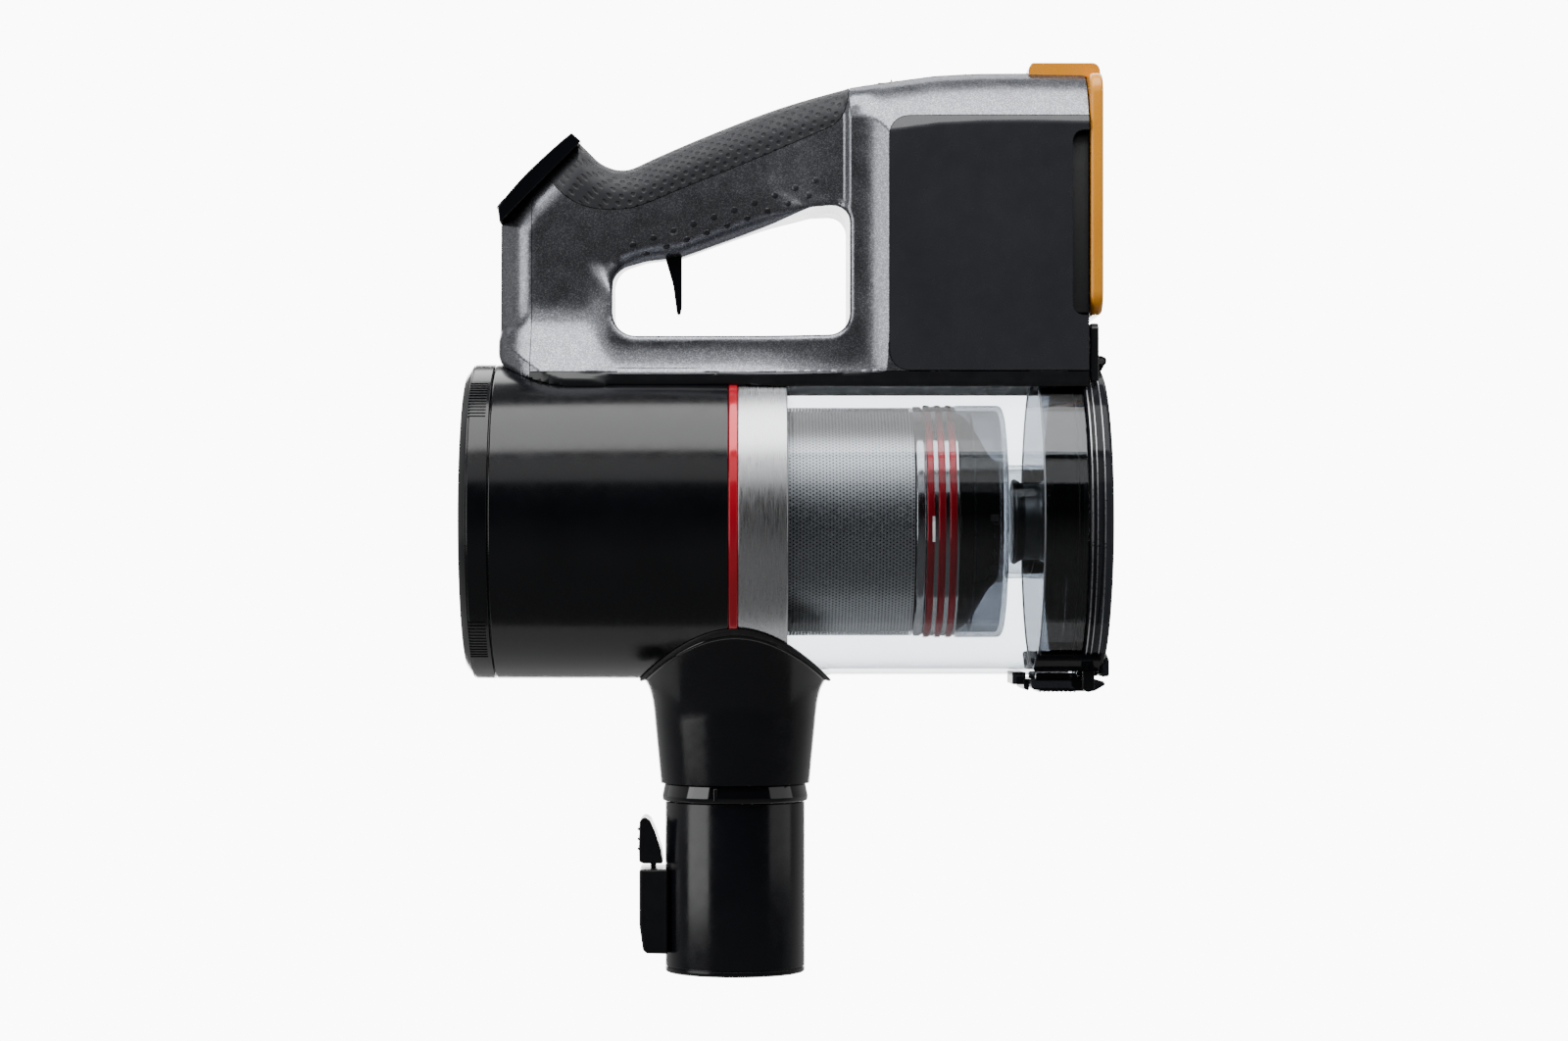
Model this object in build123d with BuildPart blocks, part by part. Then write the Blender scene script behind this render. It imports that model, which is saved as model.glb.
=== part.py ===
from build123d import *
import os

os.makedirs("parts", exist_ok=True)

# Hand unit of a cordless stick vacuum. Millimetres, +Z up, +X to the bin lid and battery.
# The origin is the centre of the wand socket's mouth.

# ---- driving dimensions ----
AXIS_Z = 183.0  # height of the long horizontal axis of motor and bin
BODY_R = 64.0  # motor housing radius
BODY_WALL = 2.6
HOUSING_X0 = -96.6
HOUSING_X1 = -2.5
RING_X1 = 1.0
BAND_X1 = 20.8
BIN_X0 = 21.1
BIN_X1 = 138.6
BIN_R = 62.4
BIN_WALL = 2.2
LID_X1 = 147.4
LID_R = 63.0
CAP_X0 = -108.6
TUBE_R = 28.5
SOCKET_R = 24.0
SOCKET_DEPTH = 62.0
NECK_BORE_R = 22.0
GRIP_HALF = 18.5  # half width of the handle loop
SIDE_HALF = 36.0  # half width of the battery housing
SHELL_Z0 = 242.5
HANDLE_CUT_R = 64.1
REAR_X = 141.4
BAY_HALF = 32.8
BAY_Z0 = 261.8
BAY_Z1 = 359.8
HINGE_X = 147.6
HINGE_Z = 247.4
TRIGGER_PIVOT = (-25.0, 300.0)
LATCH_PIVOT = (-33.5, 40.0)
LID_LATCH_PIVOT = (141.8, 116.8)
SCREW_SPOTS = ((-66, 262), (-66, 296), (52, 270), (52, 296))
RAIL_Y = 15.0  # guide rails of the bin, either side of the middle
CELL_PITCH_X = 16.3
BLOCK_Z1 = 261.6  # top of the block under the battery
BIN_RELEASE_Z = 255.0
CELL_X0 = 76.0


def along_x(x0, x1, r_out, r_in=0.0):
    """Round bar or tube on the motor axis."""
    with BuildPart() as piece:
        with BuildSketch(Plane.YZ.offset(x0)):
            with Locations((0, AXIS_Z)):
                Circle(r_out)
                if r_in:
                    Circle(r_in, mode=Mode.SUBTRACT)
        extrude(amount=x1 - x0)
    return piece


# ---- motor housing and its trim ----
with BuildPart() as motor_housing:
    with BuildSketch(Plane.YZ.offset(HOUSING_X0)):
        with Locations((0, AXIS_Z)):
            Circle(BODY_R)
            Circle(BODY_R - BODY_WALL, mode=Mode.SUBTRACT)
    extrude(amount=HOUSING_X1 - HOUSING_X0)
    outer_rims = motor_housing.edges().filter_by(GeomType.CIRCLE).sort_by(SortBy.RADIUS)[-2:]
    chamfer(outer_rims, length=0.4)
    with BuildSketch(Plane.XY.offset(100)):
        Circle(20)
    extrude(amount=40, mode=Mode.SUBTRACT)

with BuildPart() as accent_ring:
    with BuildSketch(Plane.YZ.offset(HOUSING_X1)):
        with Locations((0, AXIS_Z)):
            Circle(BODY_R)
            Circle(61.4, mode=Mode.SUBTRACT)
    extrude(amount=RING_X1 - HOUSING_X1)
    with BuildSketch(Plane.XY.offset(100)):
        Circle(20)
    extrude(amount=40, mode=Mode.SUBTRACT)

with BuildPart() as trim_band:
    with BuildSketch(Plane.YZ.offset(RING_X1)):
        with Locations((0, AXIS_Z)):
            Circle(BODY_R - 0.3)
            Circle(61.3, mode=Mode.SUBTRACT)
    extrude(amount=BAND_X1 - RING_X1)
    band_rims = trim_band.edges().filter_by(GeomType.CIRCLE).sort_by(SortBy.RADIUS)[-2:]
    chamfer(band_rims, length=0.5)
    with BuildSketch(Plane.XY.offset(100)):
        Circle(20)
    extrude(amount=40, mode=Mode.SUBTRACT)

# ---- inside the motor housing ----
with BuildPart() as motor_bulkhead:
    with BuildSketch(Plane.YZ.offset(-10)):
        with Locations((0, AXIS_Z)):
            Circle(61.2)
            Circle(22, mode=Mode.SUBTRACT)
        with Locations((0, 136)):
            Rectangle(44, 40, mode=Mode.SUBTRACT)
    extrude(amount=3)
    with BuildSketch(Plane.YZ.offset(-10)):
        with Locations((0, AXIS_Z)):
            Circle(36)
            Circle(33.5, mode=Mode.SUBTRACT)
    extrude(amount=-26)

with BuildPart() as bin_plate:
    with BuildSketch(Plane.YZ.offset(11)):
        with Locations((0, AXIS_Z)):
            Circle(61.1)
            Circle(40, mode=Mode.SUBTRACT)
        with Locations((0, 133.5)):
            Rectangle(30, 17, mode=Mode.SUBTRACT)
    extrude(amount=2.5)

with BuildPart() as inlet_duct:
    with BuildSketch(Plane.XY.offset(120)):
        with Locations((-2.5, 0)):
            Rectangle(26.8, 40)
    extrude(amount=24)
    with BuildSketch(Plane.XY.offset(119)):
        with Locations((0.5, 0)):
            Rectangle(26, 36)
    extrude(amount=23, mode=Mode.SUBTRACT)
    with BuildSketch(Plane.YZ.offset(-30)):
        with Locations((0, AXIS_Z)):
            Circle(61.1)
    extrude(amount=60, mode=Mode.INTERSECT)

pre_filter = along_x(-6.8, 10.8, 35, 12)

motor_can = along_x(-76, -38.2, 31, 27)
stator = along_x(-70, -44, 26.8, 9.8)

with BuildPart() as motor_frame:
    with BuildSketch(Plane.YZ.offset(-82)):
        with Locations((0, AXIS_Z)):
            Circle(31)
            Circle(6.6, mode=Mode.SUBTRACT)
            with PolarLocations(19, 6):
                Circle(6, mode=Mode.SUBTRACT)
    extrude(amount=5.8)
    with BuildSketch(Plane.YZ.offset(-38)):
        with Locations((0, AXIS_Z)):
            Circle(31)
            Circle(6.6, mode=Mode.SUBTRACT)
            with PolarLocations(19, 6):
                Circle(6, mode=Mode.SUBTRACT)
    extrude(amount=5)

with BuildPart() as bearings:
    for x in (-82, -38):
        with BuildSketch(Plane.YZ.offset(x)):
            with Locations((0, AXIS_Z)):
                Circle(6.5)
                Circle(3.05, mode=Mode.SUBTRACT)
        extrude(amount=4.5)

with BuildPart() as motor_cradle:
    with BuildSketch(Plane.YZ.offset(-74)):
        with Locations((0, AXIS_Z)):
            Circle(34)
            Circle(31.2, mode=Mode.SUBTRACT)
            with PolarLocations(47.3, 4, start_angle=45):
                Rectangle(27.4, 3)
    extrude(amount=31)
    with BuildSketch(Plane.YZ.offset(-74)):
        with Locations((0, AXIS_Z)):
            Circle(61.2)
    extrude(amount=31, mode=Mode.INTERSECT)

rotor_shaft = along_x(-84, -16, 3.0)
rotor_magnet = along_x(-70, -44, 9.2, 3.01)

with BuildPart() as impeller:
    with BuildSketch(Plane.YZ.offset(-31)):
        with Locations((0, AXIS_Z)):
            Circle(30)
            Circle(3.01, mode=Mode.SUBTRACT)
    extrude(amount=2)
    with BuildSketch(Plane.YZ.offset(-29)):
        with Locations((0, AXIS_Z)):
            Circle(8)
            Circle(3.01, mode=Mode.SUBTRACT)
            with PolarLocations(18.5, 9):
                Rectangle(22, 1.2, rotation=35)
    extrude(amount=13)

# ---- exhaust cap ----
with BuildPart() as exhaust_cap:
    with BuildSketch(Plane.XZ):
        with BuildLine():
            Polyline(
                (-97.0, AXIS_Z + 61.4),
                (-97.0, AXIS_Z + BODY_R - 0.4),
                (-97.4, AXIS_Z + BODY_R),
                (-104.8, AXIS_Z + BODY_R),
            )
            ThreePointArc(
                (-104.8, AXIS_Z + BODY_R),
                (-107.6, AXIS_Z + BODY_R - 1.3),
                (CAP_X0, AXIS_Z + BODY_R - 4.2),
            )
            Polyline(
                (CAP_X0, AXIS_Z + BODY_R - 4.2),
                (CAP_X0 + 0.8, AXIS_Z + 30),
                (CAP_X0, AXIS_Z + 26),
                (CAP_X0, AXIS_Z),
                (CAP_X0 + 2.6, AXIS_Z),
                (CAP_X0 + 3.0, AXIS_Z + 58.8),
                (-90.0, AXIS_Z + 58.8),
                (-90.0, AXIS_Z + 60.8),
                (-97.0, AXIS_Z + 60.8),
                (-97.0, AXIS_Z + 61.4),
            )
        make_face()
    revolve(axis=Axis((0, 0, AXIS_Z), (1, 0, 0)))
    with BuildSketch(Plane.YZ.offset(-110)):
        with Locations((0, AXIS_Z)):
            with PolarLocations(43, 40):
                SlotOverall(22, 2.6)
    extrude(amount=6, mode=Mode.SUBTRACT)

exhaust_filter = along_x(-105.2, -91, 57.6, 24)

# ---- neck, collar and wand tube ----
with BuildPart() as inlet_neck:
    with BuildSketch(Plane.XZ):
        with BuildLine():
            Polyline((NECK_BORE_R, 76.8), (30.4, 76.8), (33.8, 112.0))
            ThreePointArc((33.8, 112.0), (38.4, 121.5), (46.8, 139.8))
            Polyline((46.8, 139.8), (46.8, 141), (NECK_BORE_R, 141), (NECK_BORE_R, 76.8))
        make_face()
    revolve(axis=Axis.Z)
    with BuildSketch(Plane.YZ.offset(-60)):
        with Locations((0, AXIS_Z)):
            Circle(BODY_R + 0.1)
    extrude(amount=120, mode=Mode.SUBTRACT)

with BuildPart() as neck_seal:
    with BuildSketch(Plane.XZ):
        with BuildLine():
            ThreePointArc((33.9, 112.0), (38.5, 121.5), (46.9, 139.8))
            Line((46.9, 139.8), (49.2, 139.8))
            ThreePointArc((49.2, 139.8), (40.8, 121.5), (36.2, 112.0))
            Line((36.2, 112.0), (33.9, 112.0))
        make_face()
    revolve(axis=Axis.Z)
    with BuildSketch(Plane.YZ.offset(-60)):
        with Locations((0, AXIS_Z)):
            Circle(BODY_R + 2.6)
    extrude(amount=120, mode=Mode.INTERSECT)
    with BuildSketch(Plane.YZ.offset(-60)):
        with Locations((0, AXIS_Z)):
            Circle(BODY_R + 0.1)
    extrude(amount=120, mode=Mode.SUBTRACT)

with BuildPart() as neck_collar:
    with BuildSketch(Plane.XZ):
        with BuildLine():
            Polyline((NECK_BORE_R, 69.6), (29.8, 69.6), (28.7, 76.6), (NECK_BORE_R, 76.6), close=True)
        make_face()
    revolve(axis=Axis.Z)

with BuildPart() as wand_tube:
    with BuildSketch(Plane.XY):
        Circle(TUBE_R)
    extrude(amount=69.4)
    with BuildSketch(Plane.XY):
        Circle(SOCKET_R)
    extrude(amount=SOCKET_DEPTH, mode=Mode.SUBTRACT)
    with BuildSketch(Plane.XY.offset(SOCKET_DEPTH)):
        Circle(NECK_BORE_R)
    extrude(amount=10, mode=Mode.SUBTRACT)
    with BuildSketch(Plane.XY.offset(2.2)):
        Circle(TUBE_R + 1)
        Circle(TUBE_R - 0.5, mode=Mode.SUBTRACT)
    extrude(amount=0.5, mode=Mode.SUBTRACT)
    with Locations((-27, 0, 16)):
        Box(8, 11, 9, mode=Mode.SUBTRACT)

with BuildPart() as latch_box:
    with BuildSketch(Plane.XZ):
        with BuildLine():
            Polyline(
                (-24.8, 42.2),
                (-38.8, 42.2),
                (-38.8, 22.0),
                (-37.4, 9.6),
                (-36.2, 8.4),
                (-24.8, 8.0),
                close=True,
            )
        make_face()
    extrude(amount=14, both=True)
    outer_corners = latch_box.edges().filter_by(Axis.Z).sort_by(Axis.X)[:2]
    fillet(outer_corners, radius=3.0)
    with BuildSketch(Plane.XY.offset(10.4)):
        with Locations((-31.4, 0)):
            Rectangle(12.4, 24.4)
    extrude(amount=40, mode=Mode.SUBTRACT)
    with BuildSketch(Plane.XZ):
        with Locations(LATCH_PIVOT):
            Circle(1.55)
    extrude(amount=15, both=True, mode=Mode.SUBTRACT)
    with BuildSketch(Plane.XY):
        Circle(TUBE_R + 0.1)
    extrude(amount=60, mode=Mode.SUBTRACT)

with BuildPart() as latch_pin:
    with BuildSketch(Plane.XZ):
        with Locations(LATCH_PIVOT):
            Circle(1.5)
    extrude(amount=13.4, both=True)

with BuildPart() as wand_latch:
    with BuildSketch(Plane.XZ):
        with BuildLine():
            Polyline((-30.6, 37.5), (-30.6, 50.0))
            ThreePointArc((-30.6, 50.0), (-33.4, 56.2), (-34.6, 62.4))
            ThreePointArc((-34.6, 62.4), (-36.6, 63.6), (-38.4, 62.0))
            Polyline(
                (-38.4, 62.0),
                (-39.0, 45.0),
                (-37.0, 43.8),
                (-36.4, 37.5),
                (-34.5, 36.0),
                (-34.5, 13.0),
                (-25.0, 13.0),
                (-26.2, 18.0),
                (-32.0, 18.0),
                (-32.0, 36.0),
                (-30.6, 37.5),
            )
        make_face()
    extrude(amount=4.6, both=True)
    with BuildSketch(Plane.XZ):
        with BuildLine():
            Line((-30.6, 44.4), (-30.6, 50.0))
            ThreePointArc((-30.6, 50.0), (-33.4, 56.2), (-34.6, 62.4))
            ThreePointArc((-34.6, 62.4), (-36.6, 63.6), (-38.4, 62.0))
            Polyline((-38.4, 62.0), (-39.0, 45.0), (-37.0, 44.4), (-30.6, 44.4))
        make_face()
    extrude(amount=12, both=True)
    for z in (50.4, 54.4, 58.4):
        with BuildSketch(Plane.XZ):
            with Locations((-38.9, z)):
                Circle(0.6)
        extrude(amount=9, both=True)
    with BuildSketch(Plane.XZ):
        with Locations(LATCH_PIVOT):
            Circle(1.56)
    extrude(amount=15, both=True, mode=Mode.SUBTRACT)


# ---- handle ----
def handle_mass(x0, x1, z0):
    """Narrow loop, flared base and wide battery housing, between two ends and above a height."""
    with BuildPart() as piece:
        with BuildSketch(Plane.XY.offset(z0)):
            with BuildLine():
                ThreePointArc((-95.4, -8.0), (-92.0, -15.4), (-84.0, -GRIP_HALF))
                Line((-84.0, -GRIP_HALF), (40.0, -GRIP_HALF))
                Spline((40.0, -GRIP_HALF), (51.0, -25.5), (61.6, -SIDE_HALF), tangents=((1, -0.1), (0.6, -1)))
                Line((61.6, -SIDE_HALF), (REAR_X, -SIDE_HALF))
                Line((REAR_X, -SIDE_HALF), (REAR_X, SIDE_HALF))
                Line((REAR_X, SIDE_HALF), (61.6, SIDE_HALF))
                Spline((61.6, SIDE_HALF), (51.0, 25.5), (40.0, GRIP_HALF), tangents=((-0.6, -1), (-1, -0.1)))
                Line((40.0, GRIP_HALF), (-84.0, GRIP_HALF))
                ThreePointArc((-84.0, GRIP_HALF), (-92.0, 15.4), (-95.4, 8.0))
                Line((-95.4, 8.0), (-95.4, -8.0))
            make_face()
        extrude(amount=140)
        with BuildSketch(Plane.YZ.offset(-96.4)):
            with BuildLine():
                Line((-SIDE_HALF, z0), (-SIDE_HALF, 243.0))
                ThreePointArc((-SIDE_HALF, 243.0), (-26.0, 247.5), (-GRIP_HALF, 257.4))
                Line((-GRIP_HALF, 257.4), (GRIP_HALF, 257.4))
                ThreePointArc((GRIP_HALF, 257.4), (26.0, 247.5), (SIDE_HALF, 243.0))
                Line((SIDE_HALF, 243.0), (SIDE_HALF, z0))
                Line((SIDE_HALF, z0), (-SIDE_HALF, z0))
            make_face()
        extrude(amount=160)
        with BuildSketch(Plane.XY.offset(z0)):
            with BuildLine():
                ThreePointArc((-96.4, 0), (-88.0, -24.0), (-64.0, -SIDE_HALF))
                Polyline((-64.0, -SIDE_HALF), (REAR_X, -SIDE_HALF), (REAR_X, SIDE_HALF), (-64.0, SIDE_HALF))
                ThreePointArc((-64.0, SIDE_HALF), (-88.0, 24.0), (-96.4, 0))
            make_face()
        extrude(amount=140, mode=Mode.INTERSECT)
        with BuildSketch(Plane.YZ.offset(-100)):
            with BuildLine():
                Polyline((-SIDE_HALF, z0), (SIDE_HALF, z0), (SIDE_HALF, 350.0))
                ThreePointArc((SIDE_HALF, 350.0), (32.9, 359.9), (23.0, 365.6))
                Line((23.0, 365.6), (-23.0, 365.6))
                ThreePointArc((-23.0, 365.6), (-32.9, 359.9), (-SIDE_HALF, 350.0))
                Line((-SIDE_HALF, 350.0), (-SIDE_HALF, z0))
            make_face()
        extrude(amount=260, mode=Mode.INTERSECT)
        with BuildSketch(Plane.XZ):
            with Locations(((x0 + x1) / 2, 320)):
                Rectangle(x1 - x0, 200)
        extrude(amount=40, both=True, mode=Mode.INTERSECT)
        with BuildSketch(Plane.YZ.offset(-100)):
            with Locations((0, AXIS_Z)):
                Circle(HANDLE_CUT_R)
        extrude(amount=260, mode=Mode.SUBTRACT)
        # room above the bin for its body and its two guide rails
        with BuildSketch(Plane.YZ.offset(20.9)):
            with Locations((0, AXIS_Z)):
                Circle(64.6)
            with Locations((-RAIL_Y, 240), (RAIL_Y, 240)):
                Rectangle(7.6, 20.0)
        extrude(amount=130, mode=Mode.SUBTRACT)
    return piece


def handle_shell(side):
    """One moulded half of the handle and battery housing."""
    with BuildPart() as piece:
        add(handle_mass(-82.0, REAR_X, SHELL_Z0).part)
        with BuildSketch(Plane.XZ):
            with BuildLine():
                Polyline((-82.0, 230.0), (-82.0, 317.8), (-76.1, 323.7))
                Spline(
                    (-76.1, 323.7),
                    (-68.0, 313.6),
                    (-52.6, 308.6),
                    (-22.0, 316.8),
                    (16.4, 331.9),
                    (38.0, 341.0),
                    (45.8, 357.2),
                )
                Spline((45.8, 357.2), (58.5, 361.0), (80.8, 364.0), (117.0, 364.9))
                Polyline((117.0, 364.9), (REAR_X, 364.7), (REAR_X, 230.0), (-82.0, 230.0))
            make_face()
        extrude(amount=40, both=True, mode=Mode.INTERSECT)
        # opening for the fingers
        with BuildSketch(Plane.XZ):
            with BuildLine():
                Line((-49.4, 266.0), (-49.4, 277.0))
                ThreePointArc((-49.4, 277.0), (-45.5, 284.2), (-36.0, 288.4))
                Line((-36.0, 288.4), (-21.4, 290.4))
                Line((-21.4, 290.4), (28.0, 308.0))
                ThreePointArc((28.0, 308.0), (40.5, 307.6), (45.9, 299.0))
                Line((45.9, 299.0), (45.9, 265.0))
                ThreePointArc((45.9, 265.0), (43.7, 259.6), (38.0, 257.4))
                Line((38.0, 257.4), (-41.5, 257.4))
                ThreePointArc((-41.5, 257.4), (-47.2, 259.8), (-49.4, 266.0))
            make_face()
        extrude(amount=40, both=True, mode=Mode.SUBTRACT)
        # cable space inside the loop
        with BuildSketch(Plane.XZ):
            with BuildLine():
                Polyline(
                    (-78.0, 254.0),
                    (-53.0, 254.0),
                    (-53.0, 287.0),
                    (-40.0, 292.5),
                    (-20.0, 295.0),
                    (28.0, 312.0),
                    (42.0, 312.0),
                    (50.0, 304.0),
                    (54.0, 304.0),
                    (54.0, 340.0),
                    (41.0, 339.5),
                    (18.0, 329.0),
                    (-22.0, 313.2),
                    (-52.0, 305.0),
                    (-66.0, 308.5),
                    (-74.0, 316.5),
                    (-78.0, 315.0),
                    close=True,
                )
            make_face()
        extrude(amount=GRIP_HALF - 3, both=True, mode=Mode.SUBTRACT)
        # slot that the trigger blade hangs through
        with BuildSketch(Plane.XZ):
            with Locations((-24.4, 290.0)):
                Rectangle(12.0, 13.0)
        extrude(amount=7.2, both=True, mode=Mode.SUBTRACT)
        # battery bay, open at the rear
        with BuildSketch(Plane.YZ.offset(58)):
            with Locations((0, (BAY_Z0 + BAY_Z1) / 2)):
                RectangleRounded(2 * BAY_HALF, BAY_Z1 - BAY_Z0, 9)
        extrude(amount=90, mode=Mode.SUBTRACT)
        # recess that lets a finger reach the battery's side
        with BuildSketch(Plane.XZ):
            with Locations((139.4, 301.5)):
                RectangleRounded(10.4, 73.8, 4.4)
        extrude(amount=40, both=True, mode=Mode.SUBTRACT)
        # shallow pocket for the side panel
        with BuildSketch(Plane.XZ.offset(SIDE_HALF - 0.8)):
            with Locations((97.7, 293.5)):
                RectangleRounded(72.8, 102.0, 7)
        extrude(amount=3, mode=Mode.SUBTRACT)
        with BuildSketch(Plane.XZ.offset(0.8 - SIDE_HALF)):
            with Locations((97.7, 293.5)):
                RectangleRounded(72.8, 102.0, 7)
        extrude(amount=-3, mode=Mode.SUBTRACT)
        # bosses for the assembly screws, reached from the +Y side
        with BuildSketch(Plane.XZ):
            with Locations(*SCREW_SPOTS):
                Circle(4.6)
        extrude(amount=16, both=True)
        with BuildSketch(Plane.XZ.offset(-9)):
            with Locations(*SCREW_SPOTS):
                Circle(3.1)
        extrude(amount=-40, mode=Mode.SUBTRACT)
        with BuildSketch(Plane.XZ.offset(8)):
            with Locations(*SCREW_SPOTS):
                Circle(1.5)
        extrude(amount=-18, mode=Mode.SUBTRACT)
        with BuildSketch(Plane.XZ):
            with Locations(TRIGGER_PIVOT):
                Circle(2.05)
        extrude(amount=17, both=True, mode=Mode.SUBTRACT)
        split(bisect_by=Plane.XZ, keep=Keep.TOP if side < 0 else Keep.BOTTOM)
    return piece


handle_left = handle_shell(-1)
handle_right = handle_shell(1)

with BuildPart() as handle_nose:
    add(handle_mass(-98.0, -82.3, 234.0).part)
    with BuildSketch(Plane.XZ):
        with BuildLine():
            Line((-82.2, 236.0), (-84.0, 239.8))
            ThreePointArc((-84.0, 239.8), (-92.5, 243.8), (-96.4, 250.0))
            Polyline((-96.4, 250.0), (-95.4, 265.0), (-95.4, 304.4), (-82.2, 317.6), (-82.2, 236.0))
        make_face()
    extrude(amount=40, both=True, mode=Mode.INTERSECT)

with BuildPart() as base_trim:
    add(handle_mass(-82.0, REAR_X, 234.0).part)
    with BuildSketch(Plane.XY.offset(SHELL_Z0 - 0.1)):
        Rectangle(400, 200)
    extrude(amount=150, mode=Mode.SUBTRACT)
    with BuildSketch(Plane.XY.offset(230)):
        with Locations((30, 0)):
            Rectangle(240, 54.8)
    extrude(amount=20, mode=Mode.SUBTRACT)

with BuildPart() as grip_cover:
    with BuildSketch(Plane.XZ):
        with BuildLine():
            Spline(
                (-76.1, 323.9),
                (-68.0, 313.8),
                (-52.6, 308.8),
                (-22.0, 317.0),
                (16.4, 332.1),
                (37.8, 341.2),
                (45.6, 357.4),
            )
            Spline(
                (45.6, 357.4),
                (21.4, 351.2),
                (-17.4, 337.1),
                (-46.5, 325.7),
                (-56.0, 329.4),
                (-63.2, 336.6),
            )
            Line((-63.2, 336.6), (-76.1, 323.9))
        make_face()
    extrude(amount=GRIP_HALF, both=True)

with BuildPart() as control_panel:
    with BuildSketch(Plane.XZ):
        with BuildLine():
            Line((-95.6, 304.7), (-63.4, 336.9))
            Line((-63.4, 336.9), (-66.1, 339.6))
            ThreePointArc((-66.1, 339.6), (-83.6, 324.1), (-95.8, 309.2))
            Line((-95.8, 309.2), (-95.6, 304.7))
        make_face()
    extrude(amount=17, both=True)
    panel_ends = control_panel.edges().filter_by(Axis.Y)
    fillet(panel_ends.sort_by(Axis.Z)[-1], radius=0.8)
    # holes for the buttons, square to the sloping face
    with BuildSketch(Plane(origin=(-79.4, 0, 320.4), x_dir=(0, 1, 0), z_dir=(-1, 0, 1))):
        with Locations((0, 1.5)):
            Circle(6.8)
        with Locations((0, -14.5)):
            SlotOverall(12.8, 6.8)
        with Locations((-8, 16), (8, 16)):
            Circle(4.3)
    extrude(amount=12, both=True, mode=Mode.SUBTRACT)

PANEL_FACE = Plane(origin=(-81.2, 0, 322.2), x_dir=(0, 1, 0), z_dir=(-1, 0, 1))

with BuildPart() as power_button:
    with BuildSketch(PANEL_FACE):
        with Locations((0, 1.5)):
            Circle(6.5)
    extrude(amount=1.9)
    chamfer(power_button.edges().filter_by(GeomType.CIRCLE)[:1], length=0.2)
    with BuildSketch(PANEL_FACE.offset(1.9)):
        with Locations((0, 1.5)):
            Circle(1.4)
    extrude(amount=0.7)

with BuildPart() as turbo_button:
    with BuildSketch(PANEL_FACE):
        with Locations((0, -14.5)):
            SlotOverall(12.2, 6.2)
    extrude(amount=1.5)

with BuildPart() as minus_button:
    with BuildSketch(PANEL_FACE):
        with Locations((-8, 16)):
            Circle(4.0)
    extrude(amount=1.5)

with BuildPart() as plus_button:
    with BuildSketch(PANEL_FACE):
        with Locations((8, 16)):
            Circle(4.0)
    extrude(amount=1.5)

with BuildPart() as side_panel_left:
    with BuildSketch(Plane.XZ.offset(SIDE_HALF - 0.75)):
        with Locations((97.7, 293.5)):
            RectangleRounded(72.4, 101.6, 6.8)
    extrude(amount=0.75)

with BuildPart() as side_panel_right:
    with BuildSketch(Plane.XZ.offset(-SIDE_HALF)):
        with Locations((97.7, 293.5)):
            RectangleRounded(72.4, 101.6, 6.8)
    extrude(amount=0.75)

with BuildPart() as shell_screws:
    with BuildSketch(Plane.XZ.offset(-9.2)):
        with Locations(*SCREW_SPOTS):
            Circle(2.9)
    extrude(amount=-2.4)
    with BuildSketch(Plane.XZ.offset(4)):
        with Locations(*SCREW_SPOTS):
            Circle(1.45)
    extrude(amount=-13.2)

with BuildPart() as trigger_pin:
    with BuildSketch(Plane.XZ):
        with Locations(TRIGGER_PIVOT):
            Circle(2.0)
    extrude(amount=16.5, both=True)

with BuildPart() as trigger:
    with BuildSketch(Plane.XZ):
        with BuildLine():
            Polyline((-21.6, 300.0), (-21.6, 270.0), (-21.9, 267.8))
            ThreePointArc((-21.9, 267.8), (-22.9, 266.8), (-23.9, 267.6))
            ThreePointArc((-23.9, 267.6), (-25.2, 279.0), (-28.4, 289.6))
            Line((-28.4, 289.6), (-28.4, 300.0))
            ThreePointArc((-28.4, 300.0), (-25.0, 303.6), (-21.6, 300.0))
        make_face()
    extrude(amount=6.6, both=True)
    with BuildSketch(Plane.XZ):
        with Locations(TRIGGER_PIVOT):
            Circle(2.06)
    extrude(amount=10, both=True, mode=Mode.SUBTRACT)

with BuildPart() as main_pcb:
    with Locations((-74.5, 0, 280)):
        Box(1.6, 26, 40)

# ---- block behind the bin, under the battery, with the bin release ----
with BuildPart() as rear_block:
    with BuildSketch(Plane.XZ):
        with BuildLine():
            Polyline(
                (REAR_X + 0.1, 236.0),
                (144.0, 236.0),
                (145.0, 241.0),
                (145.0, BLOCK_Z1 - 2),
                (143.6, BLOCK_Z1),
                (REAR_X + 0.1, BLOCK_Z1),
                close=True,
            )
        make_face()
    extrude(amount=34, both=True)
    with BuildSketch(Plane.YZ.offset(130)):
        with Locations((0, AXIS_Z)):
            Circle(64.6)
        with Locations((-RAIL_Y, 240), (RAIL_Y, 240)):
            Rectangle(7.6, 20.0)
        with Locations((0, BIN_RELEASE_Z)):
            RectangleRounded(20.6, 8.6, 2.2)
    extrude(amount=30, mode=Mode.SUBTRACT)

with BuildPart() as bin_release:
    with BuildSketch(Plane.YZ.offset(142.8)):
        with Locations((0, BIN_RELEASE_Z)):
            RectangleRounded(20.0, 8.0, 2.0)
    extrude(amount=2.6)

# ---- battery pack ----
with BuildPart() as battery_case:
    with BuildSketch(Plane.YZ.offset(60)):
        with Locations((0, 310.8)):
            RectangleRounded(64.8, 97.0, 8.6)
    extrude(amount=81.4)
    with BuildSketch(Plane.YZ.offset(62)):
        with Locations((0, 310.8)):
            RectangleRounded(60.8, 93.0, 6.6)
    extrude(amount=77.4, mode=Mode.SUBTRACT)

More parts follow.
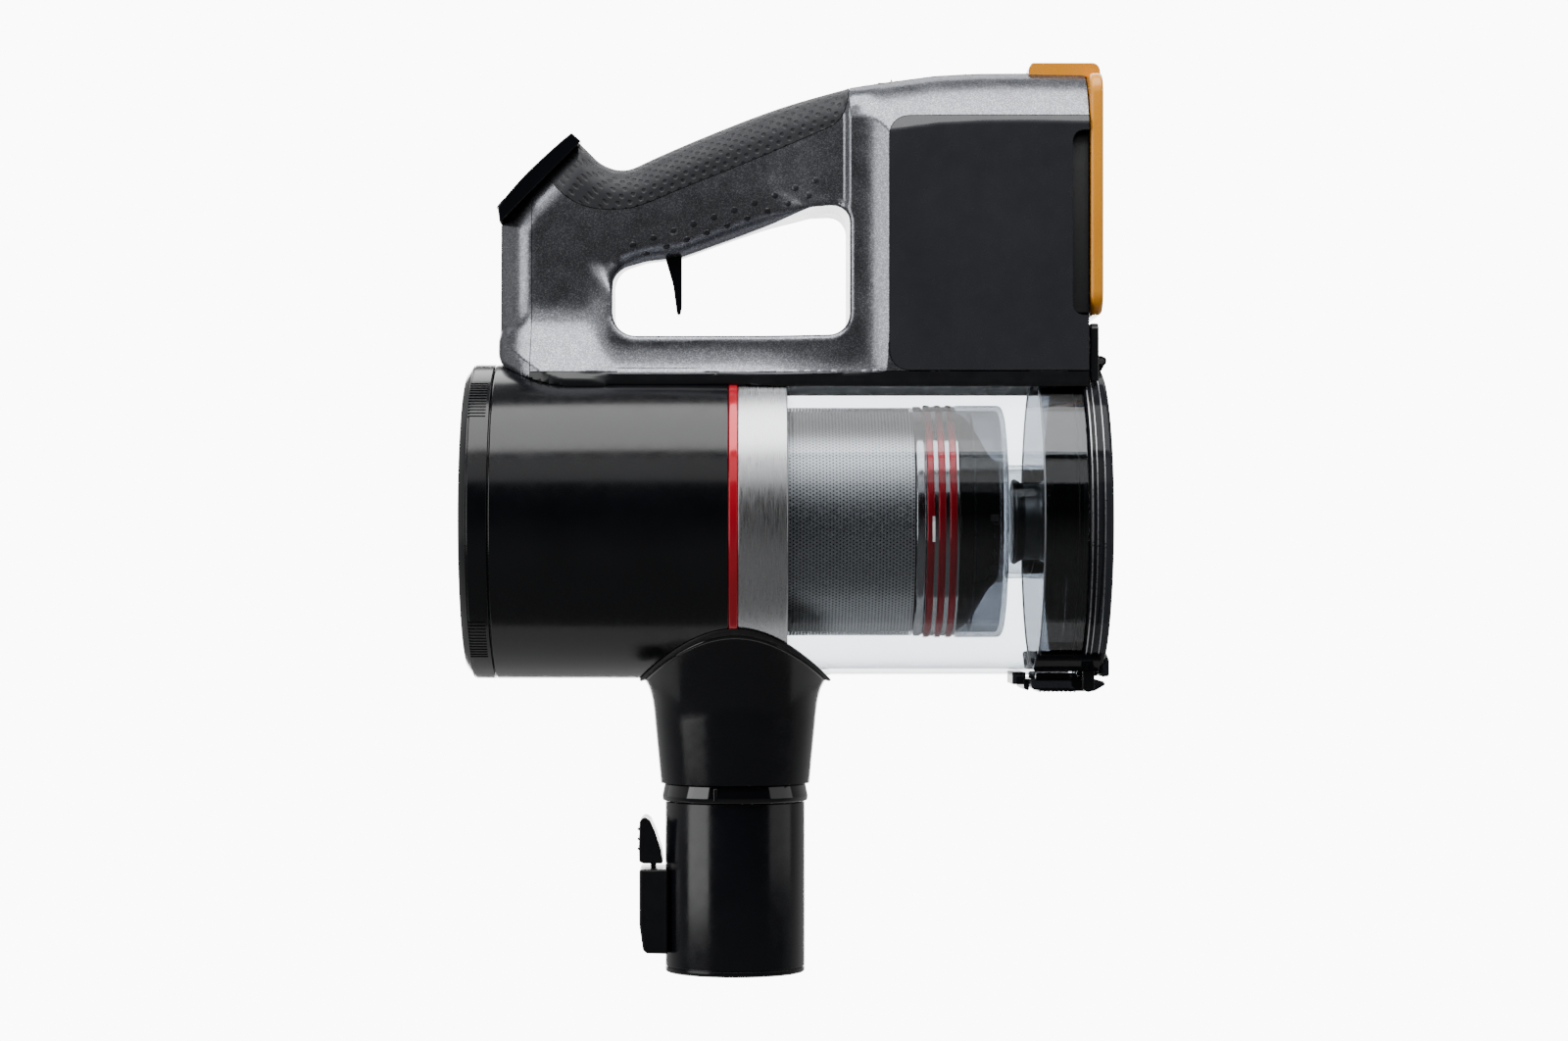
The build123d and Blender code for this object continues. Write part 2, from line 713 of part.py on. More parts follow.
with BuildPart() as battery_cells:
    with BuildSketch(Plane.XY.offset(268)):
        with Locations((CELL_X0, 0), (CELL_X0 + 2 * CELL_PITCH_X, 0)):
            with GridLocations(0, 19, 1, 2):
                Circle(9.1)
        with Locations((CELL_X0 + CELL_PITCH_X, 0)):
            with GridLocations(0, 19, 1, 3):
                Circle(9.1)
    extrude(amount=65)

with BuildPart() as battery_cover:
    with BuildSketch(Plane.YZ.offset(REAR_X + 0.1)):
        with Locations((0, 313.6)):
            RectangleRounded(70, 97, 8)
    extrude(amount=5.1)
    with BuildSketch(Plane.XZ):
        with BuildLine():
            Polyline((118.4, 365.3), (144.0, 365.3), (144.0, 350.0), (146.6, 350.0), (148.0, 364.0))
            ThreePointArc((148.0, 364.0), (147.4, 367.0), (145.0, 368.0))
            Polyline((145.0, 368.0), (120.0, 368.0), (118.4, 365.3))
        make_face()
    extrude(amount=15, both=True)
    with BuildSketch(Plane.YZ.offset(130)):
        with Locations((0, 309)):
            RectangleRounded(24.6, 12.6, 3.2)
    extrude(amount=30, mode=Mode.SUBTRACT)
    lower_edge = battery_cover.edges().filter_by(Axis.Y).group_by(Axis.Z)[0].sort_by(Axis.X)[-1]
    chamfer(lower_edge, length=2.2)

with BuildPart() as battery_release:
    with BuildSketch(Plane.YZ.offset(143.2)):
        with Locations((0, 309)):
            RectangleRounded(24.0, 12.0, 3.0)
    extrude(amount=3.4)

# ---- clear bin with its screen and cyclone ----
with BuildPart() as bin_shell:
    with BuildSketch(Plane.YZ.offset(BIN_X0)):
        with Locations((0, AXIS_Z)):
            Circle(BIN_R)
            Circle(BIN_R - BIN_WALL, mode=Mode.SUBTRACT)
    extrude(amount=BIN_X1 - BIN_X0)
    with BuildSketch(Plane.YZ.offset(15.6)):
        with Locations((0, AXIS_Z)):
            Circle(60.8)
            Circle(BIN_R - BIN_WALL - 1.4, mode=Mode.SUBTRACT)
    extrude(amount=7.4)
    # guide rails that also carry the lid hinge
    with BuildSketch(Plane.YZ.offset(24)):
        with Locations((-RAIL_Y, 245.0), (RAIL_Y, 245.0)):
            Rectangle(6, 8)
        with Locations((0, AXIS_Z)):
            Circle(BIN_R - 1, mode=Mode.SUBTRACT)
    extrude(amount=BIN_X1 - 24)
    with BuildSketch(Plane.YZ.offset(BIN_X1)):
        with Locations((-RAIL_Y, 247.3), (RAIL_Y, 247.3)):
            Rectangle(6, 3.4)
    extrude(amount=HINGE_X - BIN_X1 - 1)
    with BuildSketch(Plane.XZ):
        with Locations((HINGE_X, HINGE_Z)):
            Circle(2.3)
    extrude(amount=RAIL_Y + 3, both=True)
    with Locations((HINGE_X, 0, HINGE_Z)):
        Box(6, 2 * RAIL_Y - 6, 6, mode=Mode.SUBTRACT)
    with BuildSketch(Plane.XZ):
        with Locations((HINGE_X, HINGE_Z)):
            Circle(1.25)
    extrude(amount=30, both=True, mode=Mode.SUBTRACT)
    # keeper under the bin, which the nose of the lid latch meets
    with BuildSketch(Plane.YZ.offset(112)):
        with Locations((0, 120.5)):
            Rectangle(28, 8)
        with Locations((0, AXIS_Z)):
            Circle(BIN_R - 1, mode=Mode.SUBTRACT)
    extrude(amount=5.6)

screen_flange = along_x(15.8, 20.6, 58.6, 45.5)
mesh_screen = along_x(20.9, 71.5, 46.4, 45.6)
screen_ring = along_x(71.6, 75.7, 46.8, 40.0)
cyclone_core = along_x(75.8, 89.0, 45.6, 42.0)

with BuildPart() as cyclone_rings:
    for x in (75.9, 80.4, 84.9):
        with BuildSketch(Plane.YZ.offset(x)):
            with Locations((0, AXIS_Z)):
                Circle(47.4)
                Circle(45.7, mode=Mode.SUBTRACT)
        extrude(amount=3.1)

with BuildPart() as cyclone_shell:
    with BuildSketch(Plane.YZ.offset(89.1)):
        with Locations((0, AXIS_Z)):
            Circle(47.3)
            Circle(45.2, mode=Mode.SUBTRACT)
    extrude(amount=19.4)
    with BuildSketch(Plane.YZ.offset(106.5)):
        with Locations((0, AXIS_Z)):
            Circle(46)
            Circle(24.6, mode=Mode.SUBTRACT)
    extrude(amount=2)

with BuildPart() as cyclone_cone:
    with BuildSketch(Plane.XZ):
        with BuildLine():
            Polyline(
                (24, AXIS_Z + 38),
                (90, AXIS_Z + 38),
                (106, AXIS_Z + 24),
                (106, AXIS_Z + 22),
                (89, AXIS_Z + 36),
                (24, AXIS_Z + 36),
                close=True,
            )
        make_face()
    revolve(axis=Axis((0, 0, AXIS_Z), (1, 0, 0)))


with BuildPart() as hinge_pin:
    with BuildSketch(Plane.XZ):
        with Locations((HINGE_X, HINGE_Z)):
            Circle(1.2)
    extrude(amount=RAIL_Y + 3, both=True)

# ---- lid ----
with BuildPart() as bin_lid:
    with BuildSketch(Plane.XZ):
        with BuildLine():
            Polyline(
                (143.2, AXIS_Z + 56.8),
                (136.0, AXIS_Z + 56.8),
                (136.0, AXIS_Z + 59.0),
                (138.9, AXIS_Z + 59.0),
                (138.9, AXIS_Z + LID_R),
                (142.4, AXIS_Z + LID_R),
            )
            ThreePointArc((142.4, AXIS_Z + LID_R), (144.4, AXIS_Z + 62.0), (145.2, AXIS_Z + 60.0))
            ThreePointArc((145.2, AXIS_Z + 60.0), (146.7, AXIS_Z + 36.0), (LID_X1, AXIS_Z + 12.0))
            Polyline((LID_X1, AXIS_Z + 12.0), (LID_X1, AXIS_Z), (145.2, AXIS_Z), (143.2, AXIS_Z + 56.8))
        make_face()
    revolve(axis=Axis((0, 0, AXIS_Z), (1, 0, 0)))
    with BuildSketch(Plane.YZ.offset(142.0)):
        with Locations((0, 243.0)):
            Rectangle(20, 6.4)
    extrude(amount=4.2)
    with BuildSketch(Plane.XZ):
        with Locations((HINGE_X, HINGE_Z)):
            Circle(2.3)
            Circle(1.25, mode=Mode.SUBTRACT)
    extrude(amount=11.6, both=True)
    # ears that hold the latch
    with BuildSketch(Plane.YZ.offset(139.4)):
        with Locations((-22.4, 120.2), (22.4, 120.2)):
            Rectangle(3.0, 13.0)
    extrude(amount=4.8)
    with BuildSketch(Plane.XZ):
        with Locations(LID_LATCH_PIVOT):
            Circle(1.55)
    extrude(amount=30, both=True, mode=Mode.SUBTRACT)

lid_seal = along_x(136.6, 138.0, 59.9, 59.02)
lid_tube = along_x(110.4, 143.8, 23.2, 21.4)

with BuildPart() as dust_cone:
    with BuildSketch(Plane.XZ):
        with BuildLine():
            Polyline((143.5, AXIS_Z), (143.5, AXIS_Z + 14), (127, AXIS_Z + 14))
            ThreePointArc((127, AXIS_Z + 14), (119.5, AXIS_Z + 9.5), (112, AXIS_Z + 14))
            Polyline((112, AXIS_Z + 14), (112, AXIS_Z), (143.5, AXIS_Z))
        make_face()
    revolve(axis=Axis((0, 0, AXIS_Z), (1, 0, 0)))

with BuildPart() as lid_latch:
    with BuildSketch(Plane.XZ):
        with BuildLine():
            Polyline(
                (118.8, 120.0),
                (119.6, 115.2),
                (124.0, 114.4),
                (148.6, 114.4),
                (150.0, 116.0),
                (150.0, 128.0),
                (147.9, 129.8),
                (147.9, 118.8),
                (128.0, 118.8),
                (126.5, 120.4),
                close=True,
            )
        make_face()
    extrude(amount=20, both=True)
    for n in range(9):
        with BuildSketch(Plane.XZ):
            with Locations((123.5 + n * 1.8, 114.4)):
                Circle(0.5)
        extrude(amount=17, both=True)
    with BuildSketch(Plane.XZ):
        with Locations(LID_LATCH_PIVOT):
            Circle(1.5)
    extrude(amount=23.5, both=True)
    with BuildSketch(Plane.YZ.offset(110)):
        with Locations((0, AXIS_Z)):
            Circle(63.4)
    extrude(amount=37.8, mode=Mode.SUBTRACT)

pieces = {
    "motor_housing": motor_housing,
    "accent_ring": accent_ring,
    "trim_band": trim_band,
    "motor_bulkhead": motor_bulkhead,
    "bin_plate": bin_plate,
    "inlet_duct": inlet_duct,
    "pre_filter": pre_filter,
    "motor_can": motor_can,
    "stator": stator,
    "motor_frame": motor_frame,
    "bearings": bearings,
    "motor_cradle": motor_cradle,
    "rotor_shaft": rotor_shaft,
    "rotor_magnet": rotor_magnet,
    "impeller": impeller,
    "exhaust_cap": exhaust_cap,
    "exhaust_filter": exhaust_filter,
    "inlet_neck": inlet_neck,
    "neck_seal": neck_seal,
    "neck_collar": neck_collar,
    "wand_tube": wand_tube,
    "latch_box": latch_box,
    "latch_pin": latch_pin,
    "wand_latch": wand_latch,
    "handle_left": handle_left,
    "handle_right": handle_right,
    "handle_nose": handle_nose,
    "base_trim": base_trim,
    "grip_cover": grip_cover,
    "control_panel": control_panel,
    "power_button": power_button,
    "turbo_button": turbo_button,
    "minus_button": minus_button,
    "plus_button": plus_button,
    "side_panel_left": side_panel_left,
    "side_panel_right": side_panel_right,
    "shell_screws": shell_screws,
    "trigger": trigger,
    "trigger_pin": trigger_pin,
    "main_pcb": main_pcb,
    "rear_block": rear_block,
    "bin_release": bin_release,
    "battery_case": battery_case,
    "battery_cells": battery_cells,
    "battery_cover": battery_cover,
    "battery_release": battery_release,
    "bin_shell": bin_shell,
    "screen_flange": screen_flange,
    "mesh_screen": mesh_screen,
    "screen_ring": screen_ring,
    "cyclone_core": cyclone_core,
    "cyclone_rings": cyclone_rings,
    "cyclone_shell": cyclone_shell,
    "cyclone_cone": cyclone_cone,
    "hinge_pin": hinge_pin,
    "bin_lid": bin_lid,
    "lid_seal": lid_seal,
    "lid_tube": lid_tube,
    "dust_cone": dust_cone,
    "lid_latch": lid_latch,
}

for name, piece in pieces.items():
    piece.part.label = name
    export_step(piece.part, "parts/" + name + ".step")
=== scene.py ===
import math

import bmesh
import bpy
import numpy as np
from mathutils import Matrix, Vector


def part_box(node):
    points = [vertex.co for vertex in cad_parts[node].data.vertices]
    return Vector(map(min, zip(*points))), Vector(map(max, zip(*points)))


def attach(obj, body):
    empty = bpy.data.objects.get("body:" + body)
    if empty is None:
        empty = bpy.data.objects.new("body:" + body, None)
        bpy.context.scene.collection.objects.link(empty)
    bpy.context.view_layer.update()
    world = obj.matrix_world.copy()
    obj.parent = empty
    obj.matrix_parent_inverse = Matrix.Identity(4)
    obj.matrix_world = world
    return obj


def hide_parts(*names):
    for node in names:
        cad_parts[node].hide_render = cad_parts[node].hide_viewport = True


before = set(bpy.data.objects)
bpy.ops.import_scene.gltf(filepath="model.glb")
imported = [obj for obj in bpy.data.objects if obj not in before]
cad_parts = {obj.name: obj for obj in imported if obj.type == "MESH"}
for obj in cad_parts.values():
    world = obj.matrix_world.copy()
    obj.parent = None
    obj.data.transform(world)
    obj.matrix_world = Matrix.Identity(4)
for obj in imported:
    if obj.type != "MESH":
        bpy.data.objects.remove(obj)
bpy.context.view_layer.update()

# Lengths are in millimetres until a mesh is made.
MM = 0.001


def span(node):
    """Where a CAD node starts and ends along the drum's axis."""
    lo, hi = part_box(node)
    return lo.x / MM, hi.x / MM


housing_lo, housing_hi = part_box("motor_housing")
AXIS_Z = (housing_lo.z + housing_hi.z) / 2 / MM  # height of the drum's axis
BODY_R = (housing_hi.z - housing_lo.z) / 2 / MM
HANDLE_GAP = BODY_R + 0.12  # radius of the handle's hollow over the drum
REAR_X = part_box("handle_left")[1].x / MM  # rear face of the battery housing
SIDE_HALF = 36.0  # half width of the battery housing
BIN_R = 62.4  # outside radius of the clear bin
SHELL_R = 47.4  # outside radius of the cyclone's fins
HINGE_X = 147.6  # place of the lid's hinge
ROUND = 192  # segments round a large drum


# ---------------------------------------------------------------- mesh tools
def place_mesh(name, mesh, material, body, replaces=(), slot=None, sharp=35.0):
    """An object with a smooth mesh, riding on a body of the frame."""
    mesh.shade_smooth()
    mesh.set_sharp_from_angle(angle=math.radians(sharp))
    obj = bpy.data.objects.new(name, mesh)
    bpy.context.scene.collection.objects.link(obj)
    mesh.materials.append(material)
    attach(obj, body)
    if replaces:
        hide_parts(*replaces)
    return obj


def add_piece(name, verts, faces, material, body, **more):
    """A piece made from points in millimetres."""
    mesh = bpy.data.meshes.new(name)
    mesh.from_pydata([tuple(v) for v in np.asarray(verts, float) * MM], [], [tuple(f) for f in faces])
    mesh.validate()
    return place_mesh(name, mesh, material, body, **more)


def on_circle(x, r, t):
    """The point at radius r and angle t round the drum's axis."""
    return x, r * math.cos(t), AXIS_Z + r * math.sin(t)


def arcs(corners, steps=5):
    """A closed outline from its corners, each given as (x, z) if sharp or (x, z, radius) if rounded."""
    out = []
    points = np.array([corner[:2] for corner in corners], float)
    for i, (p, corner) in enumerate(zip(points, corners)):
        if len(corner) < 3:
            out.append(tuple(p))
            continue
        r = corner[2]
        a, b = points[i - 1] - p, points[(i + 1) % len(points)] - p
        la, lb = np.linalg.norm(a), np.linalg.norm(b)
        a, b = a / la, b / lb
        half = math.acos(max(-1, min(1, float(a @ b)))) / 2
        if half > 1.55:  # nearly straight
            out.append(tuple(p))
            continue
        reach = min(r / math.tan(half), 0.49 * la, 0.49 * lb)
        r = reach * math.tan(half)
        centre = p + (a + b) / np.linalg.norm(a + b) * (r / math.sin(half))
        start, end = p + a * reach - centre, p + b * reach - centre
        angle = math.acos(max(-1, min(1, float(start @ end) / (r * r))))
        turn = math.copysign(1, start[0] * end[1] - start[1] * end[0])
        for k in range(steps + 1):
            t = turn * angle * k / steps
            c, s = math.cos(t), math.sin(t)
            out.append(tuple(centre + np.array([c * start[0] - s * start[1], s * start[0] + c * start[1]])))
    return out


def ring_piece(name, sections, material, body, **more):
    """A closed ring through cross sections with the same number of points."""
    sections = np.array(sections)
    rows, n = sections.shape[:2]
    i, j = np.meshgrid(np.arange(rows), np.arange(n), indexing="ij")
    i2, j2 = (i + 1) % rows, (j + 1) % n
    faces = np.stack([i * n + j, i2 * n + j, i2 * n + j2, i * n + j2], -1).reshape(-1, 4)
    return add_piece(name, sections.reshape(-1, 3), faces, material, body, **more)


def lathe(name, outline, material, body, axis="X", segments=ROUND, **more):
    """A closed outline of (place along the axis, radius) turned about the drum's axis or about Z."""
    outline = np.array(outline, float)
    angles = np.arange(segments) * 2 * math.pi / segments
    c, s = np.cos(angles)[:, None], np.sin(angles)[:, None]
    along, radius = np.broadcast_to(outline[:, 0], (segments, len(outline))), outline[:, 1][None]
    if axis == "X":
        points = (along, radius * c, AXIS_Z + radius * s)
    else:
        points = (radius * c, radius * s, along)
    return ring_piece(name, np.stack(points, -1), material, body, **more)


def tube(name, a, b, r_out, r_in, material, body, edge=0.4, **more):
    """A tube with rounded rims."""
    outline = arcs([(a, r_in, edge / 2), (a, r_out, edge), (b, r_out, edge), (b, r_in, edge / 2)], 4)
    return lathe(name, outline, material, body, **more)


def prism(name, outline, half, material, body, edge=0.6, axis="Y", centre=0.0, **more):
    """An outline pushed out both ways along an axis, with rounded edges."""
    n = len(outline)
    flat = np.array(outline, float)
    ends = [np.insert(flat, 1 if axis == "Y" else 0, centre + side, axis=1) for side in (-half, half)]
    faces = [tuple(range(n)), tuple(range(2 * n - 1, n - 1, -1))]
    faces += [(i, i + n, (i + 1) % n + n, (i + 1) % n) for i in range(n)]
    obj = add_piece(name, np.concatenate(ends), faces, material, body, **more)
    bm = bmesh.new()
    bm.from_mesh(obj.data)
    bmesh.ops.recalc_face_normals(bm, faces=bm.faces)
    bm.to_mesh(obj.data)
    bm.free()
    bevel = obj.modifiers.new("rounded", "BEVEL")
    bevel.width = edge * MM
    bevel.segments = 3
    bevel.limit_method = "ANGLE"
    bevel.angle_limit = math.radians(30)
    return obj


def rounded_box(lo, hi, r):
    """Outline of a rectangle with rounded corners."""
    return arcs([(*lo, r), (hi[0], lo[1], r), (*hi, r), (lo[0], hi[1], r)], 6)


def curve_points(knots, steps=10):
    """A smooth curve through the knots (Catmull-Rom)."""
    k = np.array([knots[0]] + list(knots) + [knots[-1]], float)
    out = []
    for a, b, c, d in zip(k, k[1:], k[2:], k[3:]):
        for t in np.linspace(0, 1, steps, endpoint=False):
            bend = (2 * a - 5 * b + 4 * c - d) * t * t + (3 * b - a - 3 * c + d) * t**3
            out.append(tuple(0.5 * (2 * b + (c - a) * t + bend)))
    return out + [tuple(k[-1])]


# ---------------------------------------------------------------- materials
def set_inputs(nt, node, inputs):
    """Sets each input of a node to a value, or links it to an output."""
    for key, value in inputs.items():
        if isinstance(value, bpy.types.NodeSocket):
            nt.links.new(value, node.inputs[key])
        else:
            node.inputs[key].default_value = value


def add_node(nt, kind, inputs, out=0, **settings):
    """A new shader node. Gives one of its outputs."""
    node = nt.nodes.new("ShaderNode" + kind)
    for key, value in settings.items():
        setattr(node, key, value)
    set_inputs(nt, node, inputs)
    return node.outputs[out]


def new_material(name):
    mat = bpy.data.materials.new(name)
    mat.use_nodes = True
    return mat, mat.node_tree, mat.node_tree.nodes["Principled BSDF"]


def maths(nt, operation, *values):
    return add_node(nt, "Math", dict(enumerate(values)), operation=operation)


def ramp(nt, value, low, high, a=0.3, b=0.7):
    """A value that goes from low to high as the given one goes from a to b."""
    ends = {"Value": value, "From Min": a, "From Max": b, "To Min": low, "To Max": high}
    return add_node(nt, "MapRange", ends, "Result")


def noise(nt, scale, detail=4.0, stretch=(1, 1, 1), rough=0.55):
    """Object-space noise, with its grain stretched along the axes."""
    place = add_node(nt, "TexCoord", {}, "Object")
    place = add_node(nt, "Mapping", {"Vector": place, "Scale": stretch})
    grain = {"Vector": place, "Scale": scale, "Detail": detail, "Roughness": rough}
    return add_node(nt, "TexNoise", grain, "Fac")


def mix_colour(nt, fac, a, b):
    return add_node(nt, "Mix", {0: fac, 6: (*a, 1), 7: (*b, 1)}, 2, data_type="RGBA")


def cloudy(nt, value, a, b):
    """Colour that drifts between a and b with a noise value."""
    return mix_colour(nt, ramp(nt, value, 0, 1), a, b)


def bump(nt, bsdf, height, strength, distance):
    normal = add_node(nt, "Bump", {"Strength": strength, "Distance": distance, "Height": height})
    nt.links.new(normal, bsdf.inputs["Normal"])


def plastic(name, colour, rough, spread=0.05, grain=0.0, coat=0.0, metal=0.0, tint=0.12):
    """Moulded or painted plastic: uneven gloss, slight colour drift and a fine grain."""
    mat, nt, bsdf = new_material(name)
    low = tuple(c * (1 - tint) for c in colour)
    high = tuple(min(1, c * (1 + tint)) for c in colour)
    set_inputs(nt, bsdf, {
        "Base Color": cloudy(nt, noise(nt, 35, 3), low, high),
        "Roughness": ramp(nt, noise(nt, 160, 5), max(0.02, rough - spread), rough + spread),
        "Metallic": metal, "Coat Weight": coat, "Coat Roughness": 0.04})
    if grain:
        bump(nt, bsdf, noise(nt, 1800, 2), grain, 0.00003)
    return mat


def flake_paint(name, colour, flake, rough):
    """Dark metallic paint with fine sparkle under a clear coat."""
    mat, nt, bsdf = new_material(name)
    place = add_node(nt, "TexCoord", {}, "Object")
    cells = add_node(nt, "TexVoronoi", {"Vector": place, "Scale": 3200}, "Color")
    split = add_node(nt, "SeparateColor", {"Color": cells}).node.outputs
    set_inputs(nt, bsdf, {
        "Base Color": mix_colour(nt, ramp(nt, split[0], 0, 1, 0.55, 1.0), colour, flake),
        "Roughness": ramp(nt, noise(nt, 120, 4), rough - 0.04, rough + 0.05),
        "Metallic": 0.92, "Specular Tint": (0.22, 0.22, 0.24, 1),
        "Coat Weight": 0.35, "Coat Roughness": 0.12})
    bump(nt, bsdf, split[1], 0.10, 0.00002)
    return mat


def brushed(name, colour, rough, stretch, scale=260):
    """Brushed metal, with its lines along the axes that are not stretched."""
    mat, nt, bsdf = new_material(name)
    lines = noise(nt, scale, 6, stretch, 0.7)
    set_inputs(nt, bsdf, {
        "Base Color": cloudy(nt, lines, tuple(c * 0.82 for c in colour), colour),
        "Roughness": ramp(nt, lines, rough - 0.08, rough + 0.10), "Metallic": 1.0})
    bump(nt, bsdf, lines, 0.25, 0.00003)
    return mat


def clear(name, tint, shine, rough=0.02, body=0.0, body_colour=(1, 1, 1)):
    """Thin clear plastic: see-through, with a mirror shine that grows towards its edges."""
    mat, nt, bsdf = new_material(name)
    nt.nodes.remove(bsdf)
    drift = tuple(min(1, c * 1.03) for c in tint)
    through = add_node(nt, "BsdfTransparent", {"Color": cloudy(nt, noise(nt, 20, 2), tint, drift)})
    gloss = add_node(nt, "BsdfGlossy", {"Roughness": ramp(nt, noise(nt, 90, 3), rough, rough + 0.05)})
    facing = add_node(nt, "LayerWeight", {"Blend": 0.5}, "Facing")
    edge = ramp(nt, maths(nt, "POWER", facing, 5.0), shine, 0.9, 0, 1)
    last = add_node(nt, "MixShader", {0: edge, 1: through, 2: gloss})
    if body:
        haze = add_node(nt, "BsdfDiffuse", {"Color": (*body_colour, 1)})
        last = add_node(nt, "MixShader", {0: body, 1: last, 2: haze})
    nt.links.new(last, nt.nodes["Material Output"].inputs["Surface"])
    return mat


def foam(name, colour):
    mat, nt, bsdf = new_material(name)
    cells = noise(nt, 700, 3)
    low = tuple(c * 0.6 for c in colour)
    set_inputs(nt, bsdf, {"Base Color": cloudy(nt, cells, low, colour), "Roughness": 0.9})
    bump(nt, bsdf, cells, 0.6, 0.0003)
    return mat


def dimpled_rubber(name, colour, pitch):
    """Soft rubber with staggered rows of small round dimples, laid out along the grip, with painted shade
    darkening each dimple.
    """
    mat, nt, bsdf = new_material(name)
    row_share = 0.62  # height of a row as a share of the pitch
    place = add_node(nt, "Attribute", {}, "Vector", attribute_name="grip_place")
    place = add_node(nt, "SeparateXYZ", {0: place}).node.outputs
    row = maths(nt, "DIVIDE", place["Y"], pitch * row_share)
    stagger = maths(nt, "MULTIPLY", maths(nt, "MODULO", maths(nt, "FLOOR", row), 2.0), 0.5)
    along = maths(nt, "ADD", maths(nt, "DIVIDE", place["X"], pitch), stagger)
    u = maths(nt, "SUBTRACT", maths(nt, "FRACT", along), 0.5)
    v = maths(nt, "MULTIPLY", maths(nt, "SUBTRACT", maths(nt, "FRACT", row), 0.5), row_share)
    far = maths(nt, "SQRT", maths(nt, "ADD", maths(nt, "MULTIPLY", u, u), maths(nt, "MULTIPLY", v, v)))
    height = ramp(nt, far, 0, 1, 0.12, 0.24)
    # the base colour is painted darker inside each dimple: painted shade in the hollows
    set_inputs(nt, bsdf, {
        "Base Color": mix_colour(nt, height, tuple(c * 0.45 for c in colour), colour),
        "Roughness": ramp(nt, noise(nt, 220, 4), 0.50, 0.62)})
    bump(nt, bsdf, maths(nt, "MULTIPLY_ADD", noise(nt, 2600, 2), 0.05, height), 0.7, 0.00035)
    return mat


GLOSS_BLACK = plastic("gloss_black", (0.004, 0.0045, 0.006), 0.07, 0.03, coat=0.6, tint=0.25)
DRUM_BLACK = plastic("drum_black", (0.004, 0.0045, 0.006), 0.17, 0.03, grain=0.04, tint=0.25)
SATIN_BLACK = plastic("satin_black", (0.007, 0.0075, 0.009), 0.32, 0.05, grain=0.15, tint=0.2)
TUBE_BLACK = plastic("tube_black", (0.005, 0.0055, 0.008), 0.19, 0.04, grain=0.06, tint=0.2)
MATTE_BLACK = plastic("matte_black", (0.010, 0.0105, 0.012), 0.55, 0.06, grain=0.35, tint=0.2)
INNER_GREY = plastic("inner_grey", (0.07, 0.072, 0.08), 0.45, 0.08, grain=0.2)
SIDE_DARK = plastic("side_dark", (0.031, 0.032, 0.038), 0.26, 0.04, grain=0.08, tint=0.1)
RED = plastic("signal_red", (0.62, 0.012, 0.030), 0.16, 0.05, coat=0.5, metal=0.35)
AMBER = plastic("amber", (1.0, 0.37, 0.022), 0.28, 0.05, grain=0.05, coat=0.2, metal=0.04, tint=0.06)
PAINT = flake_paint("dark_metallic", (0.17, 0.175, 0.195), (0.42, 0.43, 0.46), 0.30)
SILVER = brushed("brushed_band", (0.66, 0.67, 0.69), 0.30, (9.0, 0.35, 0.35), 420)
SATIN_STEEL = brushed("satin_steel", (0.52, 0.53, 0.55), 0.30, (1, 1, 1), 600)
MESH_STEEL = brushed("mesh_steel", (0.93, 0.935, 0.95), 0.40, (1, 1, 1), 900)
CHROME = brushed("bright_ring", (0.86, 0.87, 0.89), 0.12, (6, 0.4, 0.4), 300)
DARK_STEEL = brushed("dark_core", (0.33, 0.34, 0.36), 0.32, (6, 0.4, 0.4), 300)
RUBBER = plastic("seal_rubber", (0.012, 0.012, 0.014), 0.6, 0.06, grain=0.3, tint=0.2)
CLEAR = clear("clear_bin", (0.77, 0.785, 0.80), 0.045, 0.015)
SMOKED = clear("smoked_shell", (0.52, 0.535, 0.56), 0.05, 0.03, 0.05, (0.05, 0.053, 0.06))
SMOKED_LATCH = clear("smoked_latch", (0.10, 0.104, 0.115), 0.05, 0.05, 0.66, (0.012, 0.013, 0.016))
FOAM = foam("filter_foam", (0.72, 0.73, 0.75))
PLEATS = foam("pleated_filter", (0.82, 0.83, 0.84))
GRIP = dimpled_rubber("grip_rubber", (0.020, 0.021, 0.026), 0.0046)
CELL = plastic("cell_wrap", (0.10, 0.20, 0.36), 0.35, 0.05)
BOARD = plastic("board_green", (0.02, 0.12, 0.06), 0.4, 0.1)
COPPER = brushed("copper_core", (0.55, 0.28, 0.14), 0.35, (1, 6, 6), 500)
MARK_WHITE = plastic("mark_white", (0.75, 0.75, 0.76), 0.5, 0.05)

CAD_LOOK = (
    (INNER_GREY, "motor_bulkhead bin_plate inlet_duct motor_cradle screen_flange"),
    (SATIN_STEEL, "motor_can motor_frame bearings rotor_shaft latch_pin shell_screws trigger_pin hinge_pin"),
    (FOAM, "pre_filter"), (PLEATS, "exhaust_filter"), (COPPER, "stator"), (DARK_STEEL, "rotor_magnet"),
    (SATIN_BLACK, "impeller cyclone_cone"), (BOARD, "main_pcb"), (CELL, "battery_cells"),
    (RUBBER, "lid_seal"),
)
for look, names in CAD_LOOK:
    for node_name in names.split():
        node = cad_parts[node_name]
        node.data.materials.clear()
        node.data.materials.append(look)


# ---------------------------------------------------------------- motor drum
def build_drum():
    wide = dict(body="body", segments=256)
    a, b = span("motor_housing")
    tube("drum", a, b, BODY_R, BODY_R - 2.6, DRUM_BLACK, edge=0.7,
         replaces=["motor_housing"], slot="housing_black", **wide)
    band_a, band_b = span("trim_band")
    tube("red_ring", b, band_a, BODY_R + 0.1, BODY_R - 2.6, RED, edge=0.5,
         replaces=["accent_ring"], slot="red_accent", **wide)
    tube("silver_band", band_a, band_b, BODY_R - 0.3, BODY_R - 2.7, SILVER, edge=0.7,
         replaces=["trim_band"], slot="brushed_band", **wide)


